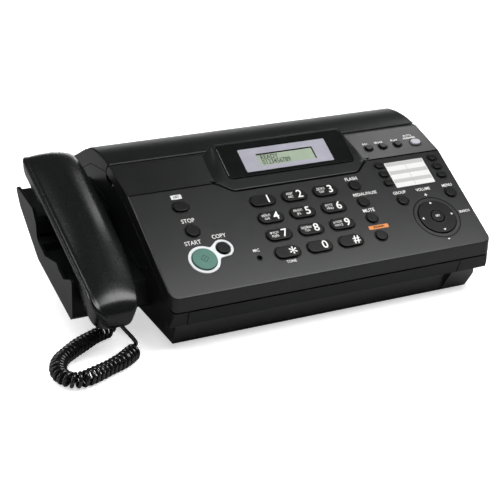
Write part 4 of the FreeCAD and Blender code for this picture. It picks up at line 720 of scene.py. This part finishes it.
def display():
    """Display housing, glossy bezel, silver frame, liquid-crystal glass and two rows of characters."""
    rows = [HOUSING_LOW + step * 0.25 for step in range(8)] + [92.5 + step * 1.0 for step in range(9)]
    rows += [101.1 + step * 1.6 for step in range(24)] + [138.6, 139.1, HOUSING_RIDGE]
    columns = 96
    points = []
    for up in rows:
        left, right = housing_sides(up)
        for step in range(columns + 1):
            across = left + (right - left) * (0.5 - 0.5 * math.cos(math.pi * step / columns))
            rounding = 0.55 * max(0.0, (up - 138.4) / 1.2) ** 2
            points.append(SLOPE.at(LEFT + across * MM, up * MM,
                                   (housing_height(across, up) - rounding) * MM))
    ridge = points[-(columns + 1):]
    # A short skirt closes the ridge's rear, stopping on the band.
    for back, drop in ((0.3, 0.4), (0.4, 1.8), (0.4, 9.0)):
        for top in ridge:
            band = GROOVE.z + (top.y - GROOVE.y) * math.tan(BAND_TILT) - 0.3 * MM
            points.append(Vector((top.x, top.y + back * MM, max(top.z - drop * MM, min(band, top.z)))))
    # Below the top cover's roof nothing reaches back to the cover, so that the panel can swing open.
    cover_low, cover_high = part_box("top_cover")
    clear_height, clear_depth = cover_high[2] + 0.5 * MM, cover_low[1] - 6.0 * MM
    for point in points:
        if point.z < clear_height:
            point.y = min(point.y, clear_depth)
    faces = []
    for row in range(len(rows) + 2):
        for step in range(columns):
            low = row * (columns + 1) + step
            faces.append((low, low + 1, low + columns + 2, low + columns + 1))
    housing = mesh_piece("display_housing", points, faces, CASE, PANEL_BODY)
    sharpen(housing, 40)
    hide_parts("display_panel")
    # Painted shade: dark strips along the seam at the band's edge and round the display housing stand in for
    # the shadow in these grooves.
    for side, start, end in (("left", 1.0, 71.5), ("right", 218.5, 288.8)):
        ribbon(f"band_groove_shade_{side}", [(start, 100.5), (end, 100.5)], 1.3, 0.03, DARK_PRINT_AND_SHADE)
    groove_shade_path = [(housing_sides(up)[0],
                    up) for up in (HOUSING_TURN - k * 0.5 for k in range(22)) if up > HOUSING_LOW]
    groove_shade_path += [(92.0, HOUSING_LOW - 0.1), (199.0, HOUSING_LOW - 0.1)]
    groove_shade_path += [(housing_sides(up)[1],
                     up) for up in (HOUSING_LOW + 0.2 + k * 0.5 for k in range(22)) if up < HOUSING_TURN]
    ribbon("housing_groove_shade", groove_shade_path, 3.0, 0.03, DARK_PRINT_AND_SHADE)

    frame_box = (88.8, 205.4, 101.9, 136.6)
    silver_box = (106.0, 187.4, 105.6, 129.7)
    glass_box = (120.2, 173.0, 110.2, 123.0)
    hole = panel_box(glass_box, 0.8)
    # Painted shade: a dark ring round the bezel stands in for the shadow in the gap between housing and
    # bezel.
    plate("bezel_gap_shade", SLOPE.matrix(rise=0.3 * MM),
          [panel_box(frame_box, 3.6, 0.7), panel_box(frame_box, 3.0)], 0.06 * MM, DARK_PRINT_AND_SHADE,
          lip=0.01 * MM)
    bezel = plate("display_bezel", SLOPE.matrix(rise=0.3 * MM), [panel_box(frame_box, 3.0), hole],
                  0.75 * MM, BEZEL, lip=0.45 * MM)
    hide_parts("display_window")
    plate("display_frame", SLOPE.matrix(rise=1.05 * MM), [panel_box(silver_box, 1.0), hole], 0.12 * MM,
          FRAME_SILVER, lip=0.08 * MM)
    plate("display_glass", SLOPE.matrix(rise=0.34 * MM), [panel_box(glass_box, 0.8, 0.3)], 0.08 * MM, LCD)
    left, right, low, high = glass_box
    for side, strip in (("top", (left, right, high - 0.8, high)),
                        ("right", (right - 0.9, right, low, high))):
        plate(f"display_shade_{side}", SLOPE.matrix(rise=0.43 * MM), [panel_box(strip, 0.1)], 0.02 * MM,
              DARK_PRINT_AND_SHADE)
    for row, words in enumerate(("READY", "0123456789")):
        place = SLOPE.matrix(LEFT + 123.4 * MM, (119.0 - 5.2 * row) * MM, 0.45 * MM)
        lettering(f"display_row_{row}", words, place, 6.9 * MM, LCD_INK, PANEL_BODY, bold=0.06 * MM,
                  squeeze=0.76,
                  align="LEFT")


def panel_box(sides, radius, grow=0.0):
    """Rounded rectangle from left, right, low and high in panel millimetres, enlarged by grow."""
    left, right, low, high = sides
    return box_points(((right - left) / 2 + grow) * MM, ((high - low) / 2 + grow) * MM,
                      LEFT + (left + right) / 2 * MM,
                      (low + high) / 2 * MM, (radius + grow) * MM, 8)


def ribbon(name, path, width, rise, material):
    """A thin strip on the slope along a path in panel millimetres."""
    points, faces = [], []
    for index, (across, up) in enumerate(path):
        ahead = Vector(path[min(index + 1, len(path) - 1)]) - Vector(path[max(index - 1, 0)])
        side = Vector((-ahead.y, ahead.x)).normalized() * width / 2
        for sign in (-1, 1):
            points.append(SLOPE.at(LEFT + (across + sign * side.x) * MM, (up + sign * side.y) * MM,
                                   rise * MM))
    for index in range(len(path) - 1):
        low = 2 * index
        faces.append((low, low + 1, low + 3, low + 2))
    return mesh_piece(name, points, faces, material, PANEL_BODY)


# ---------------------------------------------------------------- rear and paper path
def block(name, low, high, material, body):
    """A plain box between two corners."""
    corners = [Vector((x, y, z)) for x in (low[0], high[0]) for y in (low[1], high[1]) for z in (low[2],
                                                                                                 high[2])]
    faces = ((0, 1, 3, 2), (4, 6, 7, 5), (0, 4, 5, 1), (2, 3, 7, 6), (0, 2, 6, 4), (1, 5, 7, 3))
    return mesh_piece(name, corners, faces, material, body, smooth=False)


def sockets():
    """Faces of the two line sockets and the power inlet, just inside their windows in the rear wall."""
    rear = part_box("lower_case")[1][1]

    def layer(name, middle, half_width, height, start, end, material, slot):
        """A rectangle on the rear wall between two depths below its surface, in millimetres."""
        across, up = middle
        low = (across - half_width) * MM, rear - start * MM, (up - height / 2) * MM
        high = (across + half_width) * MM, rear - end * MM, (up + height / 2) * MM
        block(name, low, high, material, "case")

    for name, across in (("line", -80), ("handset", -60)):
        layer(f"{name}_socket_face", (across, 14), 6.4, 13.4, 0.38, 0.30, SOCKET, "case_plastic")
        # Painted shade: dark plates in the mouth and the latch slots stand in for the shade inside these
        # openings.
        layer(f"{name}_socket_mouth_shade", (across, 14.4), 4.9, 6.8, 0.30, 0.24, DARK_PRINT_AND_SHADE, "case_plastic")
        layer(f"{name}_socket_latch_shade", (across, 10.2), 3.2, 2.0, 0.30, 0.24, DARK_PRINT_AND_SHADE, "case_plastic")
        layer(f"{name}_socket_catch_shade", (across, 8.6), 1.7, 1.4, 0.30, 0.24, DARK_PRINT_AND_SHADE, "case_plastic")
        for pin in range(4):
            layer(f"{name}_contact_{pin}", (across + (pin - 1.5) * 1.25, 15.4), 0.3, 4.4, 0.24, 0.16, GOLD,
                  "steel")
    layer("inlet_face", (150, 13.5), 10.3, 14.7, 0.38, 0.30, SOCKET, "case_plastic")
    # Painted shade: a dark plate stands in for the shade inside the inlet's mouth.
    layer("inlet_mouth_shade", (150, 13.5), 7.6, 8.6, 0.30, 0.24, DARK_PRINT_AND_SHADE, "case_plastic")
    for side, across in (("left", 145.8), ("right", 154.2)):
        rings = [[Vector((across * MM + x, rear - depth * MM, 13.5 * MM + z)) for x,
                  z in circle_points(reach * MM, count=24)]
                 for depth, reach in ((0.24, 1.3), (0.12, 1.3), (0.08, 0.9))]
        sharpen(ring_loft(f"inlet_pin_{side}", rings, GOLD, "case"), 40)


def guides():
    """Document guides with their blades a little lower than the collision shape."""
    lean = math.radians(61)
    blade_height = 3.2 * MM
    normal = Vector((0, math.cos(lean), math.sin(lean)))
    for name in ("document_guide_left", "document_guide_right"):
        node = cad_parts[name]
        mesh = node.data.copy()
        mesh.name = f"{name}_blade"
        mesh.transform(node.matrix_world)
        reach = max(vertex.co.dot(normal) for vertex in mesh.vertices)
        for vertex in mesh.vertices:
            over = vertex.co.dot(normal) - (reach - blade_height)
            if over > 0:
                vertex.co -= normal * over * 0.97
        mesh.materials.clear()
        mesh.materials.append(CASE)
        piece = adopt(place_object(f"{name}_blade", mesh), name.replace("document_", ""))
        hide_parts(name)


# ---------------------------------------------------------------- handset
HANDSET_TILT = math.radians(20.4)
HANDSET_LINE = Surface(PANEL_LOW[1] + 2 * MM, 49 * MM, HANDSET_TILT)
HANDSET_LENGTH = 190 * MM
HANDSET_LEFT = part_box("handset_cover")[0][0]
HANDSET_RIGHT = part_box("handset_cover")[1][0]
HANDSET_MIDDLE = (HANDSET_LEFT + HANDSET_RIGHT) / 2
# Heights over the ridge line along the handset's length, in millimetres from the mouth end.
CROWN_HEIGHTS = ((0, -11), (1.5, -6.5), (4, -3.0), (8, -0.2), (14, 1.9), (22, 3.4), (35, 4.6), (50, 5.8),
                 (70, 8.0), (90, 9.3),
                 (110, 9.8), (150, 9.6), (165, 7.6), (175, 4.2), (181, 0.6), (186, -4), (190, -10))
RIDGE_HEIGHTS = ((0, -13), (1.5, -8.5), (4, -5), (9, -2), (16, -0.5), (24, 0), (172, 0), (178, -1.2),
                 (184, -5), (190, -12))
UNDER_DEPTHS = ((0, -19), (3, -23), (9, -26.5), (14, -28), (33, -28), (42, -13), (50, -11), (125, -11),
                (133, -19), (140, -20),
                (178, -20), (186, -17.5), (190, -14))
RIGHT_TAPER = ((0, 17), (2, 12.5), (6, 9.6), (12, 8.2), (20, 7.0), (35, 4.6), (53, 2.2), (75, 0.6), (95, 0),
               (160, 0), (175, 2.5), (183, 6.5), (190, 15))
LEFT_TAPER = ((0, 11), (2, 5.4), (5, 2.4), (9, 0.8), (14, 0), (174, 0), (180, 1.4), (185, 4.4), (190, 12))


def along_table(table, station):
    """Value of a (station, value) table, on straight lines between its rows."""
    for (before, low), (after, high) in zip(table, table[1:]):
        if station <= after:
            share = (station - before) / (after - before)
            return low + (high - low) * share
    return table[-1][1]


def softened(table, station, reach):
    """A table's value averaged over a short reach, so that its corners are round."""
    samples = 9
    spread = min(reach, station, HANDSET_LENGTH / MM - station)
    return sum(along_table(table,
                           station + spread * (2 * k / (samples - 1) - 1)) for k in range(samples)) / samples


def handset_rings(part):
    """Rings of the crowned cover or of the shell below its seam, from the mouth end to the ear end."""
    stations = [0.15, 0.6, 1.3, 2.2, 3.4, 5, 7, 9.5, 12.5, 16, 20, 25, 30, 34, 38, 42, 47, 54, 62, 71, 81,
                92, 104, 116, 124, 129,
                134, 140, 148, 156, 163, 169, 174, 178, 181.5, 184.5, 186.8, 188.4, 189.4, 189.85]
    rings = []
    for station in stations:
        length = station * MM
        left = HANDSET_LEFT + softened(LEFT_TAPER, station, 2.5) * MM
        right = HANDSET_RIGHT - softened(RIGHT_TAPER, station, 4) * MM
        ridge = softened(RIDGE_HEIGHTS, station, 3) * MM
        crown = max(softened(CROWN_HEIGHTS, station, 5) * MM, ridge + 0.6 * MM)
        under = min(softened(UNDER_DEPTHS, station, 3) * MM, ridge - 4 * MM)
        width = right - left
        if part == "cover":
            section = [(0.10, -2.2), (0.0, -1.2), (0.10, 0.1), (0.5, 1.0), (1.2, 1.5), (2.1, 1.6),
                       (3.0, 1.3)]
            ring = [HANDSET_LINE.at(left + x * MM, length, ridge + z * MM) for x, z in section]
            start = 4.0 * MM
            rise = crown - ridge - 1.1 * MM
            for step in range(25):
                share = step / 24
                dome = math.sin(math.pi * (0.04 + 0.96 * share) * 0.5) if share < 0.5 else 1.0
                swell = (1 - abs(2 * share - 1) ** 2.3) ** 0.85
                x = left + start + (width - start - 0.6 * MM) * share
                ring.append(HANDSET_LINE.at(x, length,
                                            ridge + 1.1 * MM * (1 - share ** 4) + rise * swell * dome ** 0.2))
            ring.append(HANDSET_LINE.at(right - 0.1 * MM, length, ridge - 1.0 * MM))
            ring.append(HANDSET_LINE.at(right - 0.1 * MM, length, ridge - 2.2 * MM))
            for step in range(1, 6):
                ring.append(HANDSET_LINE.at(right - width * step / 6, length, ridge - 2.6 * MM))
        else:
            seam = ridge - 2.7 * MM
            middle, half = (left + right) / 2, width / 2 - 0.5 * MM
            ring = []
            for step in range(29):
                turn = math.pi * step / 28
                across = math.copysign(abs(math.cos(turn)) ** 0.45, math.cos(turn))
                fall = math.sin(turn) ** 0.45
                ring.append(HANDSET_LINE.at(middle + half * across * (1 - 0.09 * fall), length,
                                            seam + (under - seam) * fall))
            for step in range(1, 6):
                ring.append(HANDSET_LINE.at(middle - half + 2 * half * step / 6, length, seam))
        rings.append(ring)
    return rings


def handset():
    """Handset in two halves: the crowned cover with its raised rim, and the shell with both heads."""
    cover = ring_loft("handset_top", handset_rings("cover"), HANDSET_SKIN, "handset")
    shell = ring_loft("handset_under", handset_rings("shell"), HANDSET_SKIN, "handset")
    for piece in (cover, shell):
        tidy_normals(piece)
        sharpen(piece, 50)
    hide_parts("handset_cover")
    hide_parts("handset_shell")


def sharpen(piece, degrees):
    """Keep edges sharper than an angle crisp under smooth shading."""
    work = bmesh.new()
    work.from_mesh(piece.data)
    for edge in work.edges:
        if len(edge.link_faces) == 2 and edge.calc_face_angle(0) > math.radians(degrees):
            edge.smooth = False
    work.to_mesh(piece.data)
    work.free()


# ---------------------------------------------------------------- cord
def smooth_path(points, steps):
    """Catmull-Rom curve through points, sampled evenly by count."""
    padded = [points[0] * 2 - points[1]] + points + [points[-1] * 2 - points[-2]]
    path = []
    for index in range(1, len(padded) - 2):
        p0, p1, p2, p3 = padded[index - 1:index + 3]
        for step in range(steps):
            t = step / steps
            path.append(0.5 * ((2 * p1) + (p2 - p0) * t + (2 * p0 - 5 * p1 + 4 * p2 - p3) * t * t
                               + (3 * p1 - p0 - 3 * p2 + p3) * t ** 3))
    path.append(points[-1])
    return path


def tube(name, path, radius, material, body, sides=10):
    """A round tube swept along a path with a frame carried from point to point."""
    rings = []
    side = None
    for index, point in enumerate(path):
        ahead = path[min(index + 1, len(path) - 1)] - path[max(index - 1, 0)]
        ahead.normalize()
        if side is None:
            side = ahead.orthogonal().normalized()
        side = (side - ahead * side.dot(ahead)).normalized()
        other = ahead.cross(side)
        rings.append([point + (side * math.cos(t) + other * math.sin(t)) * radius
                      for t in (2 * math.pi * k / sides for k in range(sides))])
    return ring_loft(name, rings, material, body)


def cord():
    """Handset cord: a straight lead, a glossy coil looped on the table, and its tail to the base."""
    coil_radius = 5.0 * MM
    wire = 1.55 * MM
    level = coil_radius + wire + 0.1 * MM
    front = PANEL_LOW[1]
    pod_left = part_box("upper_case")[0][0]
    loop = [Vector((pod_left + x * MM, front + y * MM, level)) for x, y in
            ((36, 11), (24, 2), (12, -4), (-1, -9.5), (-13, -13), (-22, -10), (-26, 2), (-20, 18),
             (-6, 30.5), (6, 38.5),
             (18, 45.5), (30, 51))]
    spine = smooth_path(loop, 14)
    lengths = [0.0]
    for first, second in zip(spine, spine[1:]):
        lengths.append(lengths[-1] + (second - first).length)
    pitch = 4.3 * MM
    turns = lengths[-1] / pitch
    samples = int(turns * 14)
    coil = []
    cursor = 0
    up = Vector((0, 0, 1))
    for index in range(samples + 1):
        travel = lengths[-1] * index / samples
        while cursor < len(lengths) - 2 and lengths[cursor + 1] < travel:
            cursor += 1
        share = (travel - lengths[cursor]) / (lengths[cursor + 1] - lengths[cursor])
        centre = spine[cursor].lerp(spine[cursor + 1], share)
        ahead = (spine[cursor + 1] - spine[cursor]).normalized()
        side = ahead.cross(up).normalized()
        turn = 2 * math.pi * turns * index / samples
        loosen = 1 + 0.05 * math.sin(turn * 0.113) + 0.03 * math.sin(turn * 0.047 + 1)
        coil.append(centre + (side * math.cos(turn) + up * math.sin(turn)) * coil_radius * loosen)
    exit_point = HANDSET_LINE.at(HANDSET_MIDDLE - 0.5 * MM, 9 * MM, -22 * MM)
    lead = smooth_path([exit_point, exit_point + Vector((5, -1.5, -7)) * MM,
                        loop[0] + Vector((2.5, 2.0, 6)) * MM,
                        coil[0] + Vector((1.2, 1.0, 1.5)) * MM, coil[0]], 10)
    whole = lead[:-1] + coil
    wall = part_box("lower_case")[0][0] - 0.5 * MM
    floor_level = wire + 0.1 * MM
    tail = [(38, 58, floor_level), (48, 74, floor_level), ((wall - pod_left) / MM, 92, 9 * MM)]
    tail = [Vector((pod_left + x * MM, front + y * MM, z)) for x, y, z in tail]
    whole += smooth_path([coil[-1]] + tail, 8)[1:]
    # Loose turns and the tail's curve rest on the table.
    for point in whole:
        point.z = max(point.z, floor_level)
    piece = tube("cord_coil", whole, wire, CORD, None, 8)
    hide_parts("handset_cord")
    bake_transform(piece)
    return piece


# ---------------------------------------------------------------- CAD nodes' finishes
paint(["upper_case", "top_cover", "display_panel", "document_guide_left", "document_guide_right",
       "hook_switch"], CASE)
paint(["lower_case"], BASE)
paint(["keypad_panel"], PANEL)
paint(["navigator_ring"], KEY)
paint(list(DIAL) + SLOPE_KEYS + BAND_KEYS[:3] + ["copy_key", "set_key"], KEY)
paint(["start_key"], GREEN)
paint(["auto_answer_key"], SILVER)
paint(["display_window"], BEZEL)
paint(["rubber_feet"], RUBBER)
paint(["platen_roller", "document_roller"], RUBBER)
paint(["case_screws", "feed_motor", "speaker"], STEEL)
paint(["thermal_head"], ALUMINIUM)
paint(["image_sensor"], BEZEL)
paint(["idler_gear", "motor_pinion"], GEAR)
paint(["paper_roll"], PAPER)
paint(["main_board", "control_board", "power_supply"], BOARD)

dial_print()
panel_print()
start_surround()
directory_card()
key_recesses()
sockets()
guides()
microphone()
display()
handset()
cord()


# ---------------------------------------------------------------- studio
def area_light(name, place, target, width, depth, power):
    """A rectangular soft light that faces a target."""
    light = bpy.data.lights.new(name, "AREA")
    light.shape = "RECTANGLE"
    light.size = width
    light.size_y = depth
    light.energy = power
    lamp = place_object(name, light)
    lamp.location = place
    lamp.rotation_euler = (Vector(target) - Vector(place)).to_track_quat("-Z", "Y").to_euler()
    return lamp


def studio():
    """Pale floor and sky, two overhead soft boxes, a strip at each side and a low fill behind."""
    floor_mesh = bpy.data.meshes.new("floor")
    half = 6.0
    floor_mesh.from_pydata([(-half, -half, 0), (half, -half, 0), (half, half, 0), (-half, half, 0)], [],
                           [(0, 1, 2, 3)])
    floor_mesh.materials.append(studio_floor("studio_floor"))
    place_object("floor", floor_mesh)
    world = bpy.data.worlds.new("studio")
    world.use_nodes = True
    nodes, links = world.node_tree.nodes, world.node_tree.links
    seen = nodes.new("ShaderNodeLightPath")
    blend = nodes.new("ShaderNodeMix")
    blend.data_type = "FLOAT"
    blend.inputs["A"].default_value = 0.07
    blend.inputs["B"].default_value = 1.0
    links.new(seen.outputs["Is Camera Ray"], blend.inputs["Factor"])
    links.new(blend.outputs["Result"], nodes["Background"].inputs["Strength"])
    nodes["Background"].inputs["Color"].default_value = (1, 1, 1, 1)
    bpy.context.scene.world = world
    area_light("panel_softbox", (0.30, -0.34, 0.72), (0.30, -0.34, 0.0), 0.72, 0.40, 6.6)
    sky = area_light("sky_softbox", (-0.5, 0.5, 2.2), (-0.1, 0.05, 0.0), 2.6, 2.2, 46)
    sky.visible_glossy = False
    area_light("left_strip", (-1.05, 0.35, 0.62), (-0.16, 0.0, 0.07), 0.10, 1.1, 4.2)
    area_light("rear_fill", (0.55, 1.60, 0.13), (0.0, 0.1, 0.06), 1.3, 0.22, 3.0)
    area_light("right_strip", (0.75, 0.60, 0.95), (-0.15, 0.0, 0.07), 0.14, 0.7, 1.3)
    bpy.context.scene.view_settings.view_transform = "Standard"


def camera():
    """Long lens at the front left, a little above the machine."""
    data = bpy.data.cameras.new("camera")
    data.sensor_width = 36
    data.lens = 95.42
    data.clip_start = 0.05
    view = place_object("camera", data)
    place = Vector((-0.4686, -0.9179, 0.4901))
    target = Vector((-0.0303, -0.0732, 0.060))
    roll = math.radians(2.09)
    turn = (target - place).to_track_quat("-Z", "Y").to_matrix().to_4x4()
    view.matrix_world = Matrix.Translation(place) @ turn @ Matrix.Rotation(roll, 4, "Z")
    bpy.context.scene.camera = view


studio()
camera()
